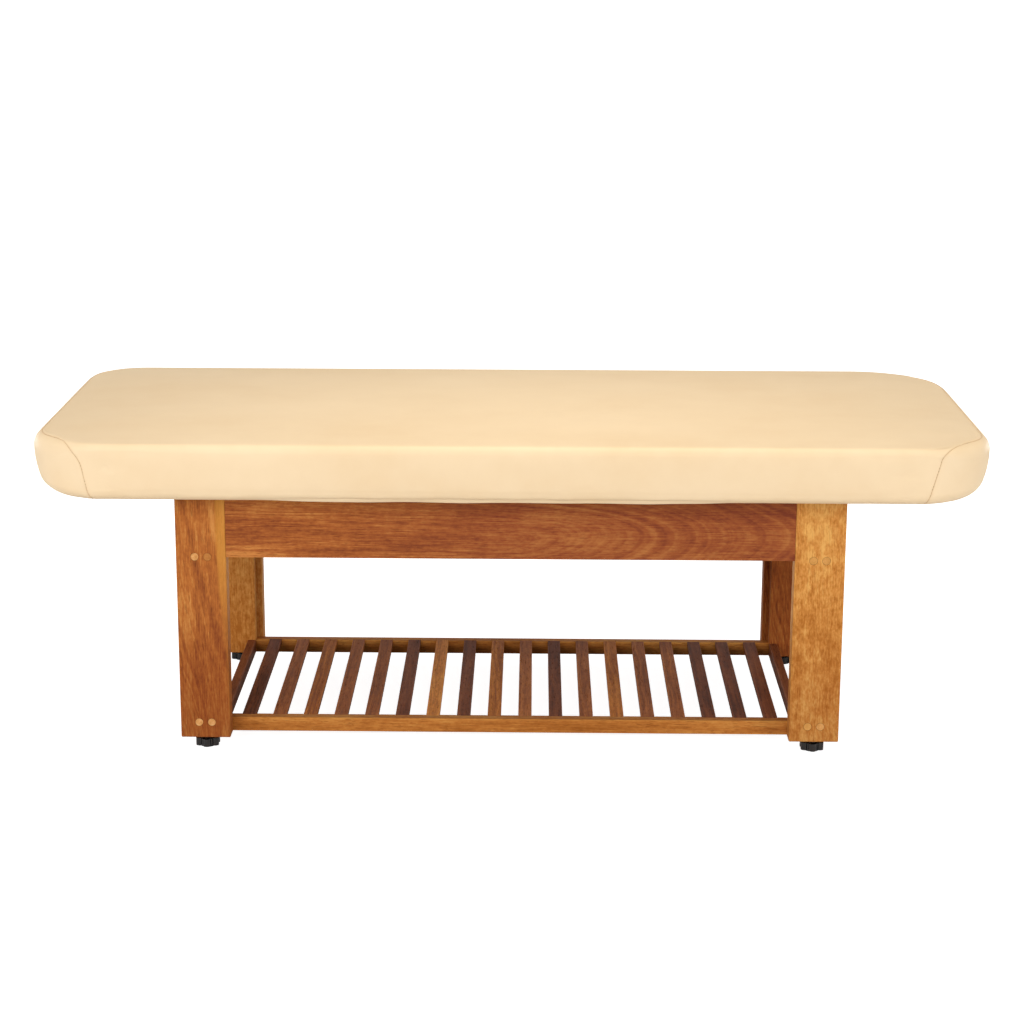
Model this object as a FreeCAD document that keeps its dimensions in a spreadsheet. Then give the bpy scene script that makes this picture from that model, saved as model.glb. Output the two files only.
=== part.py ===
import FreeCAD, Part
import math
import os
import re
import Sketcher

# Spa bed: a vinyl covered cushion on an open hardwood frame with a slatted shelf.
# Millimetres. +X runs along the bed, the front faces -Y, +Z is up.
# The origin is on the floor, below the middle of the bed.

# Driving dimensions of the hardwood frame
DRIVING = {
    "base_length": 1354.0,
    "base_depth": 650.0,
    "floor_gap": 26.0,
    "edge_ease": 2.5,
    # Each leg is an outer board with a block behind it, set out by a step.
    "leg_height": 523.0,
    "leg_width": 102.0,
    "leg_board_thickness": 40.0,
    "leg_block_thickness": 30.0,
    "leg_step": 14.0,
    # Aprons under the cushion
    "apron_height": 138.0,
    "apron_thickness": 28.0,
    "end_apron_thickness": 28.0,
    # Rails round the shelf
    "rail_depth": 26.0,
    "rail_height": 30.0,
    "rail_lift": 1.0,
    "end_rail_thickness": 19.0,
    # Shelf slats, housed in the inner edges of the long rails
    "slat_width": 28.0,
    "slat_thickness": 12.0,
    "slat_ease": 2.0,
    "shelf_end_gap": 31.0,
    "housing_depth": 6.0,
    "housing_clearance": 0.2,
    # Cleats and cross bearers that carry the deck of the cushion
    "cleat_thickness": 25.0,
    "cleat_height": 30.0,
    "cleat_end_gap": 15.0,
    "bearer_width": 32.0,
    "bearer_height": 62.0,
    "bearer_spacing": 460.0,
    # Dowels, with a hole a little larger and deeper than each
    "dowel_diameter": 10.0,
    "dowel_length": 40.0,
    "rail_dowel_diameter": 8.0,
    "rail_dowel_length": 28.0,
    "rail_dowel_stagger": 6.0,
    "dowel_clearance": 0.1,
    "dowel_end_gap": 1.0,
    # Leg screws, each sunk below the face and hidden by a wood plug
    "plug_diameter": 15.6,
    "plug_length": 8.0,
    "plug_spacing": 26.0,
    "plug_low": 33.0,
    "plug_high": 386.0,
    "screw_diameter": 5.0,
    "screw_length": 44.0,
    "screw_head_diameter": 10.0,
    "screw_head_height": 4.0,
    "deck_screw_margin": 3.0,
    "deck_screw_recess": 6.0,
    "deck_screw_end_gap": 100.0,
    "screw_clearance": 0.15,
    # Levelling feet
    "foot_setback": 30.0,
    "insert_diameter": 14.0,
    "insert_length": 25.0,
    "stem_diameter": 10.0,
    "stem_length": 55.0,
    "stem_seat": 6.0,
    "stem_running": 0.05,
    "knob_lobe_radius": 8.0,
    "knob_pitch_radius": 18.0,
    "knob_core_radius": 19.0,
    "knob_height": 16.0,
    "knob_ease": 1.5,
    "neck_diameter": 22.0,
    "pad_diameter": 32.0,
    "pad_thickness": 3.0,
    "spigot_diameter": 12.0,
    "spigot_height": 4.0,
    "foot_running_gap": 0.3,
    # Cushion, measured over its cover: how far it stands out past the base, and its height
    "end_overhang": 288.0,
    "side_overhang": 94.0,
    "cushion_height": 115.0,
    "cushion_crown": 9.0,
    "front_corner_radius": 160.0,
    "back_left_corner_radius": 125.0,
    "back_right_corner_radius": 195.0,
    "shoulder_radius": 15.0,
    "end_shoulder_radius": 24.0,
    "roll_radius": 26.0,
    "side_draw": 2.0,
    # The ends draw in towards their foot, below the height where they are widest
    "end_undercut": 20.0,
    "widest_height": 91.0,
    "cover_thickness": 1.2,
    "foam_clearance": 0.3,
    "hem_width": 60.0,
    "deck_thickness": 12.0,
    "deck_inset": 30.0,
    "dust_cover_thickness": 0.8,
    "firm_foam_thickness": 60.0,
    # Seam of the end panels, from the foot of the front face up round the corner
    "seam_foot_inset": 136.0,
    "seam_top_inset": 76.0,
    "seam_drop": 3.0,
}
SLAT_COUNT = 18
KNOB_LOBES = 6
LEFT = -1
RIGHT = 1
FRONT = -1
BACK = 1
SIDE_NAMES = {LEFT: "left", RIGHT: "right"}
FACE_NAMES = {FRONT: "front", BACK: "back"}
CORNERS = [(side, face) for face in (FRONT, BACK) for side in (LEFT, RIGHT)]

# How far in, as shares of half the cushion's depth, the sections of its crown lie
CROWN_INSET_SHARES = (0.14, 0.32, 0.58, 0.9)

# Turns of the rolled bottom edge and of the shoulder at which a section is drawn, in degrees
ROUND_TURNS = (0, 30, 60, 90)

# Places of the deck screws, as shares of the way from a cleat's middle to its last screw
DECK_SCREW_SHARES = (-1, 0, 1)

# An edge counts as running along a direction from this share of its length on
PARALLEL_SHARE = 0.99

doc = FreeCAD.newDocument("SpaBed")
Vector = FreeCAD.Vector
UP = Vector(0, 0, 1)
ALONG = Vector(1, 0, 0)
ACROSS = Vector(0, 1, 0)


# Sheet of driving dimensions, and the expressions that read it
def make_sheet():
    """Put each driving dimension in its own cell, with its name as alias."""
    sheet = doc.addObject("Spreadsheet::Sheet", "Sizes")
    for row, (name, value) in enumerate(DRIVING.items(), start=1):
        cell = "A" + str(row)
        sheet.set(cell, str(value))
        sheet.setAlias(cell, name)
    doc.recompute()
    return sheet


sheet = make_sheet()
size = {name: float(getattr(sheet, name)) for name in DRIVING}


def bind(target, prop, formula):
    """Bind one property to a formula written with the names in the sheet."""
    expression = re.sub(r"\b[a-z]+(?:_[a-z]+)+\b", lambda word: "Sizes." + word.group(0), str(formula))
    target.setExpression(prop, expression)


# Formulas that several pieces share
BLOCK_WIDTH = "(leg_width - leg_step)"
APRON_MIDDLE = "(floor_gap + leg_height - apron_height / 2)"
RAIL_MIDDLE = "(floor_gap + rail_lift + rail_height / 2)"
SHELF_LENGTH = "(base_length - 2 * leg_width + 2 * leg_step)"
LEG_DEPTH = "(leg_board_thickness + leg_block_thickness)"
RAIL_INNER = "(base_depth / 2 - leg_board_thickness - rail_depth)"
SLAT_PITCH = f"(({SHELF_LENGTH} - 2 * shelf_end_gap - slat_width) / {SLAT_COUNT - 1})"

# How far the top of a stem stands above the bottom of its leg, with the foot screwed in
STEM_REACH = "(pad_thickness + foot_running_gap + stem_seat + stem_length - floor_gap)"

# How far a leg screw runs into the block behind the board
SCREW_IN_BLOCK = "(plug_length + screw_head_height + screw_length - leg_board_thickness)"

block_width = size["leg_width"] - size["leg_step"]
frame_top = size["floor_gap"] + size["leg_height"]
half_length = size["base_length"] / 2
half_depth = size["base_depth"] / 2
apron_middle = frame_top - size["apron_height"] / 2
rail_middle = size["floor_gap"] + size["rail_lift"] + size["rail_height"] / 2
leg_depth = size["leg_board_thickness"] + size["leg_block_thickness"]
leg_centre = half_length - size["leg_width"] / 2
foot_y = half_depth - size["foot_setback"]


# Bodies, sketches and features
def new_body(label, x="0", y="0", z="0"):
    """Start a body whose place is bound to the sheet."""
    body = doc.addObject("PartDesign::Body", label)
    body.Label = label
    bind(body, ".Placement.Base.x", x)
    bind(body, ".Placement.Base.y", y)
    bind(body, ".Placement.Base.z", z)
    return body


def new_sketch(body, name, role, offset="0"):
    """Start a sketch on one of the body's own origin planes, moved along its normal."""
    sketch = body.newObject("Sketcher::SketchObject", name)
    plane = next(item for item in body.Origin.OriginFeatures if item.Role == role)
    sketch.AttachmentSupport = [(plane, "")]
    sketch.MapMode = "FlatFace"
    bind(sketch, ".AttachmentOffset.Base.z", offset)
    return sketch


def bind_distance(sketch, name, constraint, formula):
    """Add a distance constraint under a name and bind it to a formula."""
    index = sketch.addConstraint(constraint)
    sketch.renameConstraint(index, name)
    bind(sketch, "Constraints." + name, formula)


def draw_rectangle(sketch, width, height):
    """Draw a rectangle centred on the sketch's origin."""
    corners = [Vector(-1, -1, 0), Vector(1, -1, 0), Vector(1, 1, 0), Vector(-1, 1, 0)]
    lines = [Part.LineSegment(corners[i], corners[(i + 1) % 4]) for i in range(4)]
    sketch.addGeometry(lines)
    for i in range(4):
        sketch.addConstraint(Sketcher.Constraint("Coincident", i, 2, (i + 1) % 4, 1))
    for i in (0, 2):
        sketch.addConstraint(Sketcher.Constraint("Horizontal", i))
    for i in (1, 3):
        sketch.addConstraint(Sketcher.Constraint("Vertical", i))
    sketch.addConstraint(Sketcher.Constraint("Symmetric", 0, 1, 2, 1, -1, 1))
    bind_distance(sketch, "wide", Sketcher.Constraint("DistanceX", 0, 1, 0, 2, 1.0), width)
    bind_distance(sketch, "tall", Sketcher.Constraint("DistanceY", 1, 1, 1, 2, 1.0), height)


def draw_circles(sketch, places, diameter):
    """Draw one circle for each (across, up, across formula, up formula) place."""
    for number, (across, up, across_formula, up_formula) in enumerate(places):
        index = sketch.addGeometry(Part.Circle(Vector(across, up, 0), UP, size["dowel_diameter"] / 2))
        name = "hole" + str(number)
        bind_distance(sketch, name + "_size", Sketcher.Constraint("Diameter", index, 1.0), diameter)
        for axis, value, formula in (("X", across, across_formula), ("Y", up, up_formula)):
            ends = (-1, 1, index, 3) if value >= 0 else (index, 3, -1, 1)
            sign = "" if value >= 0 else "-1 * "
            if formula == "0":
                on_line = -2 if axis == "X" else -1
                sketch.addConstraint(Sketcher.Constraint("PointOnObject", index, 3, on_line))
            else:
                constraint = Sketcher.Constraint("Distance" + axis, *ends, abs(value))
                bind_distance(sketch, name + "_" + axis.lower(), constraint, sign + "(" + formula + ")")


def add_pad(body, name, sketch, length, symmetric=False):
    """Pad a sketch, to one side or to both sides of its plane."""
    pad = body.newObject("PartDesign::Pad", name)
    pad.Profile = sketch
    pad.SideType = "Symmetric" if symmetric else "One side"
    bind(pad, "Length", length)
    return pad


def add_pocket(body, name, sketch, depth):
    """Cut a sketch to a depth on both sides of its plane, and check that it cut."""
    doc.recompute()
    before = body.Shape.Volume
    pocket = body.newObject("PartDesign::Pocket", name)
    pocket.Profile = sketch
    pocket.SideType = "Symmetric"
    bind(pocket, "Length", "2 * (" + depth + ")")
    doc.recompute()
    if not body.Shape.Volume < before:
        raise ValueError(name + " in " + body.Label + " cuts nothing")
    return pocket


def ease_edges(body, name, radius, wanted):
    """Round the straight edges of the last feature that the test picks out."""
    doc.recompute()
    feature = body.Tip
    picked = []
    for number, edge in enumerate(feature.Shape.Edges, start=1):
        run = edge.Vertexes[-1].Point - edge.Vertexes[0].Point
        if wanted(run):
            picked.append("Edge" + str(number))
    fillet = body.newObject("PartDesign::Fillet", name)
    fillet.Base = (feature, picked)
    bind(fillet, "Radius", radius)
    return fillet


def any_edge(run):
    """Pick every edge."""
    return True


def runs_along(direction):
    """Return a test that picks the edges along one direction."""
    def wanted(run):
        return abs(run.normalize().dot(direction)) > PARALLEL_SHARE
    return wanted


def wood_bar(label, role, direction, width, height, length, place, ease="edge_ease"):
    """A rectangular bar along one axis, centred on its place, with eased long edges."""
    body = new_body(label, *place)
    section = new_sketch(body, label + "_section", role)
    draw_rectangle(section, width, height)
    add_pad(body, label + "_length", section, length, symmetric=True)
    ease_edges(body, label + "_ease", ease, runs_along(direction))
    return body


# Frame pieces
def leg_board(side, face):
    """The outer board of a leg, with its screw, plug, dowel and foot bores."""
    label = FACE_NAMES[face] + "_" + SIDE_NAMES[side] + "_leg_board"
    x = f"{side} * (base_length - leg_width) / 2"
    y = f"{face} * (base_depth - leg_board_thickness) / 2"
    body = new_body(label, x, y, "floor_gap")
    section = new_sketch(body, label + "_section", "XY_Plane")
    draw_rectangle(section, "leg_width", "leg_board_thickness")
    add_pad(body, label + "_height", section, "leg_height")
    ease_edges(body, label + "_ease", "edge_ease", any_edge)

    # The outer face, seen by a sketch whose normal is -Y
    outer = f"{-face} * leg_board_thickness / 2"
    half = size["plug_spacing"] / 2
    places = [
        (sign * half, size[height], f"{sign} * plug_spacing / 2", height)
        for sign in (LEFT, RIGHT)
        for height in ("plug_low", "plug_high")
    ]
    plugs = new_sketch(body, label + "_plugs", "XZ_Plane", outer)
    draw_circles(plugs, places, "plug_diameter + 2 * dowel_clearance")
    add_pocket(body, label + "_plug_bores", plugs, "plug_length + screw_head_height")
    screws = new_sketch(body, label + "_screws", "XZ_Plane", outer)
    draw_circles(screws, places, "screw_diameter + 2 * screw_clearance")
    add_pocket(body, label + "_screw_bores", screws, "leg_board_thickness + edge_ease")

    # The inner edge, where the apron is dowelled on
    inner = f"{-side} * leg_width / 2"
    across = face * (size["leg_board_thickness"] - size["apron_thickness"]) / 2
    across_formula = f"{face} * (leg_board_thickness - apron_thickness) / 2"
    apron_places = [
        (
            across,
            size["leg_height"] - share * size["apron_height"] / 4,
            across_formula,
            f"leg_height - {share} * apron_height / 4",
        )
        for share in (1, 3)
    ]
    dowels = new_sketch(body, label + "_dowels", "YZ_Plane", inner)
    draw_circles(dowels, apron_places, "dowel_diameter + 2 * dowel_clearance")
    add_pocket(body, label + "_dowel_bores", dowels, "dowel_length / 2 + dowel_end_gap")

    # The bottom, where the foot's insert and stem go in
    setback = face * (size["leg_board_thickness"] / 2 - size["foot_setback"])
    setback_formula = f"{face} * (leg_board_thickness / 2 - foot_setback)"
    foot_place = [(0, setback, "0", setback_formula)]
    insert = new_sketch(body, label + "_insert", "XY_Plane")
    draw_circles(insert, foot_place, "insert_diameter + 2 * dowel_clearance")
    add_pocket(body, label + "_insert_bore", insert, "insert_length")
    stem = new_sketch(body, label + "_stem", "XY_Plane")
    draw_circles(stem, foot_place, "stem_diameter + 2 * dowel_end_gap")
    add_pocket(body, label + "_stem_bore", stem, STEM_REACH + " + dowel_end_gap")
    return body


def leg_block(side, face):
    """The block glued and screwed behind a leg board, which takes the rails."""
    label = FACE_NAMES[face] + "_" + SIDE_NAMES[side] + "_leg_block"
    x = f"{side} * (base_length - {BLOCK_WIDTH}) / 2"
    y = f"{face} * (base_depth / 2 - leg_board_thickness - leg_block_thickness / 2)"
    body = new_body(label, x, y, "floor_gap")
    section = new_sketch(body, label + "_section", "XY_Plane")
    draw_rectangle(section, BLOCK_WIDTH, "leg_block_thickness")
    add_pad(body, label + "_height", section, "leg_height")
    ease_edges(body, label + "_ease", "edge_ease", any_edge)

    # Screws come in through the leg board
    half = size["plug_spacing"] / 2
    shift = -side * size["leg_step"] / 2
    places = [
        (
            shift + sign * half,
            size[height],
            f"{-side} * leg_step / 2 + {sign} * plug_spacing / 2",
            height,
        )
        for sign in (LEFT, RIGHT)
        for height in ("plug_low", "plug_high")
    ]
    screws = new_sketch(body, label + "_screws", "XZ_Plane", f"{-face} * leg_block_thickness / 2")
    draw_circles(screws, places, "screw_diameter + 2 * screw_clearance")
    add_pocket(body, label + "_screw_bores", screws, SCREW_IN_BLOCK + " + dowel_end_gap")

    # The long shelf rail is dowelled on the inner face
    across = face * (size["leg_block_thickness"] - size["rail_depth"]) / 2
    low = size["rail_lift"] + size["rail_height"] / 2 - size["rail_dowel_stagger"]
    rail_place = [
        (
            across,
            low,
            f"{face} * (leg_block_thickness - rail_depth) / 2",
            "rail_lift + rail_height / 2 - rail_dowel_stagger",
        )
    ]
    rail = new_sketch(body, label + "_rail", "YZ_Plane", f"{-side} * {BLOCK_WIDTH} / 2")
    draw_circles(rail, rail_place, "rail_dowel_diameter + 2 * dowel_clearance")
    add_pocket(body, label + "_rail_bore", rail, "rail_dowel_length / 2 + dowel_end_gap")

    # The end rail and the end apron are dowelled on the rear face
    rear = f"{face} * leg_block_thickness / 2"
    end_rail_place = [
        (
            -side * (block_width - size["end_rail_thickness"]) / 2,
            low + 2 * size["rail_dowel_stagger"],
            f"{-side} * ({BLOCK_WIDTH} - end_rail_thickness) / 2",
            "rail_lift + rail_height / 2 + rail_dowel_stagger",
        )
    ]
    end_rail = new_sketch(body, label + "_end_rail", "XZ_Plane", rear)
    draw_circles(end_rail, end_rail_place, "rail_dowel_diameter + 2 * dowel_clearance")
    add_pocket(body, label + "_end_rail_bore", end_rail, "rail_dowel_length / 2 + dowel_end_gap")
    apron_places = [
        (
            side * (block_width - size["end_apron_thickness"]) / 2,
            size["leg_height"] - share * size["apron_height"] / 4,
            f"{side} * ({BLOCK_WIDTH} - end_apron_thickness) / 2",
            f"leg_height - {share} * apron_height / 4",
        )
        for share in (1, 3)
    ]
    apron = new_sketch(body, label + "_end_apron", "XZ_Plane", rear)
    draw_circles(apron, apron_places, "dowel_diameter + 2 * dowel_clearance")
    add_pocket(body, label + "_end_apron_bores", apron, "dowel_length / 2 + dowel_end_gap")
    return body


def end_bores(body, role, bar_length, places, diameter, depth):
    """Bore the same dowel holes in both ends of a bar."""
    for number, end in enumerate((LEFT, RIGHT)):
        name = body.Label + "_end" + str(number)
        sketch = new_sketch(body, name, role, f"{end} * ({bar_length}) / 2")
        draw_circles(sketch, places, diameter)
        add_pocket(body, name + "_bores", sketch, depth)


def apron_dowel_places():
    """The two dowels of an apron's end, a quarter of its height from each edge."""
    quarter = size["apron_height"] / 4
    return [(0, sign * quarter, "0", f"{sign} * apron_height / 4") for sign in (-1, 1)]


def long_apron(face):
    """The front or back apron, flush with the faces of the leg boards."""
    length = "(base_length - 2 * leg_width)"
    place = ("0", f"{face} * (base_depth - apron_thickness) / 2", APRON_MIDDLE)
    label = FACE_NAMES[face] + "_apron"
    body = wood_bar(label, "YZ_Plane", ALONG, "apron_thickness", "apron_height", length, place)
    diameter = "dowel_diameter + 2 * dowel_clearance"
    end_bores(body, "YZ_Plane", length, apron_dowel_places(), diameter, "dowel_length / 2 + dowel_end_gap")
    return body


def end_apron(side):
    """The left or right apron, between the leg blocks and flush with the outer faces."""
    length = f"(base_depth - 2 * {LEG_DEPTH})"
    place = (f"{side} * (base_length - end_apron_thickness) / 2", "0", APRON_MIDDLE)
    label = SIDE_NAMES[side] + "_apron"
    body = wood_bar(label, "XZ_Plane", ACROSS, "end_apron_thickness", "apron_height", length, place)
    diameter = "dowel_diameter + 2 * dowel_clearance"
    end_bores(body, "XZ_Plane", length, apron_dowel_places(), diameter, "dowel_length / 2 + dowel_end_gap")
    return body


def long_rail(face):
    """The front or back shelf rail, with a row of housings for the slat ends."""
    place = ("0", f"{face} * (base_depth / 2 - leg_board_thickness - rail_depth / 2)", RAIL_MIDDLE)
    label = FACE_NAMES[face] + "_shelf_rail"
    body = wood_bar(label, "YZ_Plane", ALONG, "rail_depth", "rail_height", SHELF_LENGTH, place)
    dowel = [(0, -size["rail_dowel_stagger"], "0", "-1 * rail_dowel_stagger")]
    diameter = "rail_dowel_diameter + 2 * dowel_clearance"
    end_bores(body, "YZ_Plane", SHELF_LENGTH, dowel, diameter, "rail_dowel_length / 2 + dowel_end_gap")

    # The first housing, open at the rail's top and inner edge, and its copies
    name = label + "_housing"
    first = new_sketch(body, name, "XY_Plane", "rail_height / 2")
    draw_rectangle(first, "slat_width + 2 * housing_clearance", "2 * housing_depth")
    bind(first, ".AttachmentOffset.Base.x", f"-1 * {SLAT_PITCH} * {SLAT_COUNT - 1} / 2")
    bind(first, ".AttachmentOffset.Base.y", f"{-face} * rail_depth / 2")
    cut = add_pocket(body, name + "_cut", first, "slat_thickness")
    row = body.newObject("PartDesign::LinearPattern", label + "_housings")
    row.Originals = [cut]
    row.Direction = (first, ["H_Axis"])
    row.Occurrences = SLAT_COUNT
    bind(row, "Length", f"{SLAT_PITCH} * {SLAT_COUNT - 1}")
    body.Tip = row
    return body


def end_rail(side):
    """The left or right shelf rail, between the rear faces of the leg blocks."""
    length = f"(base_depth - 2 * {LEG_DEPTH})"
    x = f"{side} * (base_length / 2 - {BLOCK_WIDTH} + end_rail_thickness / 2)"
    label = SIDE_NAMES[side] + "_shelf_rail"
    place = (x, "0", RAIL_MIDDLE)
    body = wood_bar(label, "XZ_Plane", ACROSS, "end_rail_thickness", "rail_height", length, place)
    dowel = [(0, size["rail_dowel_stagger"], "0", "rail_dowel_stagger")]
    diameter = "rail_dowel_diameter + 2 * dowel_clearance"
    end_bores(body, "XZ_Plane", length, dowel, diameter, "rail_dowel_length / 2 + dowel_end_gap")
    return body


def shelf_slat(number):
    """One slat, its ends in the housings and its top level with the rails."""
    x = f"({number} - {(SLAT_COUNT - 1) / 2}) * {SLAT_PITCH}"
    z = "(floor_gap + rail_lift + rail_height - slat_thickness / 2)"
    length = f"2 * ({RAIL_INNER} + housing_depth - housing_clearance)"
    label = f"shelf_slat_{number + 1:02d}"
    place = (x, "0", z)
    return wood_bar(label, "XZ_Plane", ACROSS, "slat_width", "slat_thickness", length, place, "slat_ease")


# Groups of like pieces, each group one node
def part_feature(label, shape):
    """Keep a shape made by code as one labelled object."""
    feature = doc.addObject("Part::Feature", label)
    feature.Label = label
    feature.Shape = shape
    return feature


def turned_solid(profile, start, direction):
    """Turn a profile of (radius, height) points round its axis and stand it on a direction."""
    points = [Vector(radius, 0, height) for radius, height in profile]
    solid = Part.Face(Part.makePolygon(points + points[:1])).revolve(Vector(0, 0, 0), UP, 360)
    solid.Placement = FreeCAD.Placement(start, FreeCAD.Rotation(UP, direction))
    return solid


def round_pin(diameter, length, start, direction):
    """A plain round pin, from its start along a direction."""
    radius = diameter / 2
    return turned_solid([(0, 0), (radius, 0), (radius, length), (0, length)], start, direction)


def countersunk_screw(length, start, direction):
    """A screw from the top of its head along its run: a cone head and a shank."""
    head = size["screw_head_diameter"] / 2
    shank = size["screw_diameter"] / 2
    cone = size["screw_head_height"]
    profile = [(0, 0), (head, 0), (shank, cone), (shank, cone + length), (0, cone + length)]
    return turned_solid(profile, start, direction)


def leg_screw_places():
    """Where the leg screws enter, on the outer faces: the place and the way in."""
    places = []
    for side, face in CORNERS:
        for sign in (LEFT, RIGHT):
            for height in ("plug_low", "plug_high"):
                x = side * leg_centre + sign * size["plug_spacing"] / 2
                z = size["floor_gap"] + size[height]
                places.append((Vector(x, face * half_depth, z), Vector(0, -face, 0)))
    return places


def screw_plugs():
    """Wood plugs that close the leg screw bores, flush with the faces."""
    diameter = size["plug_diameter"]
    length = size["plug_length"]
    plugs = [round_pin(diameter, length, place, way) for place, way in leg_screw_places()]
    return part_feature("screw_plugs", Part.makeCompound(plugs))


def leg_screws():
    """Screws under the plugs, through the boards and into the blocks."""
    sink = size["plug_length"]
    length = size["screw_length"]
    screws = [countersunk_screw(length, place + way * sink, way) for place, way in leg_screw_places()]
    return part_feature("leg_screws", Part.makeCompound(screws))


def dowels():
    """All dowels: two at each apron end and one at each rail end."""
    pins = []
    quarter = size["apron_height"] / 4
    apron_joint = half_length - size["leg_width"]
    end_joint = half_depth - leg_depth
    rail_joint = half_length - block_width
    stagger = size["rail_dowel_stagger"]
    end_apron_x = half_length - size["end_apron_thickness"] / 2
    end_rail_x = half_length - block_width + size["end_rail_thickness"] / 2
    apron_y = half_depth - size["apron_thickness"] / 2
    rail_y = half_depth - size["leg_board_thickness"] - size["rail_depth"] / 2
    long_dowel = (size["dowel_diameter"], size["dowel_length"])
    short_dowel = (size["rail_dowel_diameter"], size["rail_dowel_length"])
    for side, face in CORNERS:
        for sign in (-1, 1):
            z = apron_middle + sign * quarter
            start = Vector(side * (apron_joint - size["dowel_length"] / 2), face * apron_y, z)
            pins.append(round_pin(*long_dowel, start, ALONG * side))
            start = Vector(side * end_apron_x, face * (end_joint - size["dowel_length"] / 2), z)
            pins.append(round_pin(*long_dowel, start, ACROSS * face))
        half_rail_dowel = size["rail_dowel_length"] / 2
        start = Vector(side * (rail_joint - half_rail_dowel), face * rail_y, rail_middle - stagger)
        pins.append(round_pin(*short_dowel, start, ALONG * side))
        start = Vector(side * end_rail_x, face * (end_joint - half_rail_dowel), rail_middle + stagger)
        pins.append(round_pin(*short_dowel, start, ACROSS * face))
    return part_feature("dowels", Part.makeCompound(pins))


# Deck supports
cleat_length = size["base_length"] - 2 * size["leg_width"] - 2 * size["cleat_end_gap"]
cleat_outer = half_depth - size["apron_thickness"]
cleat_inner = cleat_outer - size["cleat_thickness"]
last_screw_x = cleat_length / 2 - size["deck_screw_end_gap"]
deck_screw_y = (cleat_outer + cleat_inner) / 2
deck_screw_places = [
    Vector(share * last_screw_x, face * deck_screw_y, frame_top - size["cleat_height"])
    for face in (FRONT, BACK)
    for share in DECK_SCREW_SHARES
]


def deck_cleats():
    """A cleat glued inside each long apron, bored for the deck screws."""
    solids = []
    for face in (FRONT, BACK):
        cleat = Part.makeBox(cleat_length, size["cleat_thickness"], size["cleat_height"])
        low_y = cleat_inner if face == BACK else -cleat_outer
        cleat.translate(Vector(-cleat_length / 2, low_y, frame_top - size["cleat_height"]))
        for place in deck_screw_places:
            if place.y * face > 0:
                hole_radius = size["screw_diameter"] / 2 + size["screw_clearance"]
                hole = Part.makeCylinder(hole_radius, size["cleat_height"], place)
                recess_radius = size["screw_head_diameter"] / 2 + size["screw_clearance"]
                recess_depth = size["deck_screw_recess"] + size["screw_head_height"]
                recess = Part.makeCylinder(recess_radius, recess_depth, place)
                cleat = cleat.cut(hole.fuse(recess))
        solids.append(cleat)
    return part_feature("deck_cleats", Part.makeCompound(solids))


def deck_screws():
    """Screws up through the cleats, each ending a margin below the top of the deck."""
    rise = Vector(0, 0, size["deck_screw_recess"])
    reach = size["cleat_height"] + size["cover_thickness"] + size["deck_thickness"]
    sunk = size["deck_screw_recess"] + size["screw_head_height"] + size["deck_screw_margin"]
    screws = [countersunk_screw(reach - sunk, place + rise, UP) for place in deck_screw_places]
    return part_feature("deck_screws", Part.makeCompound(screws))


def deck_bearers():
    """Two cross bearers, notched at both ends to pass under the cleats."""
    top = frame_top
    under_cleat = frame_top - size["cleat_height"]
    bottom = frame_top - size["bearer_height"]
    outline = [
        Vector(0, -cleat_inner, top),
        Vector(0, -cleat_inner, under_cleat),
        Vector(0, -cleat_outer, under_cleat),
        Vector(0, -cleat_outer, bottom),
        Vector(0, cleat_outer, bottom),
        Vector(0, cleat_outer, under_cleat),
        Vector(0, cleat_inner, under_cleat),
        Vector(0, cleat_inner, top),
        Vector(0, -cleat_inner, top),
    ]
    solids = []
    for side in (LEFT, RIGHT):
        bearer = Part.Face(Part.makePolygon(outline)).extrude(ALONG * size["bearer_width"])
        bearer.translate(ALONG * (side * size["bearer_spacing"] / 2 - size["bearer_width"] / 2))
        solids.append(bearer)
    return part_feature("deck_bearers", Part.makeCompound(solids))


# Levelling feet
pad_top = size["pad_thickness"]
knob_bottom = pad_top + size["foot_running_gap"]
stem_bottom = knob_bottom + size["stem_seat"]


def foot_inserts():
    """A steel sleeve in the bottom of each leg, for the stem of its foot."""
    bore_radius = size["stem_diameter"] / 2 + size["stem_running"]
    sleeves = []
    for side, face in CORNERS:
        place = Vector(side * leg_centre, face * foot_y, size["floor_gap"])
        outer = Part.makeCylinder(size["insert_diameter"] / 2, size["insert_length"], place)
        bore = Part.makeCylinder(bore_radius, size["insert_length"], place)
        sleeves.append(outer.cut(bore))
    return part_feature("foot_inserts", Part.makeCompound(sleeves))


def foot_place(side, face, height):
    """Formulas for the place of a foot's piece."""
    return (
        f"{side} * (base_length - leg_width) / 2",
        f"{face} * (base_depth / 2 - foot_setback)",
        height,
    )


def draw_profile(sketch, points):
    """Draw a closed profile of straight lines, each corner bound to two formulas.

    Each point is (radius, height, radius formula, height formula)."""
    count = len(points)
    for i in range(count):
        here = Vector(points[i][0], points[i][1], 0)
        there = Vector(points[(i + 1) % count][0], points[(i + 1) % count][1], 0)
        sketch.addGeometry(Part.LineSegment(here, there))
    for i in range(count):
        sketch.addConstraint(Sketcher.Constraint("Coincident", i, 2, (i + 1) % count, 1))
    for i, (radius, height, radius_formula, height_formula) in enumerate(points):
        if radius_formula == "0":
            sketch.addConstraint(Sketcher.Constraint("PointOnObject", i, 1, -2))
        else:
            constraint = Sketcher.Constraint("DistanceX", -1, 1, i, 1, radius)
            bind_distance(sketch, f"radius{i}", constraint, radius_formula)
        if height_formula == "0":
            sketch.addConstraint(Sketcher.Constraint("PointOnObject", i, 1, -1))
        else:
            constraint = Sketcher.Constraint("DistanceY", -1, 1, i, 1, height)
            bind_distance(sketch, f"height{i}", constraint, height_formula)


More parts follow.
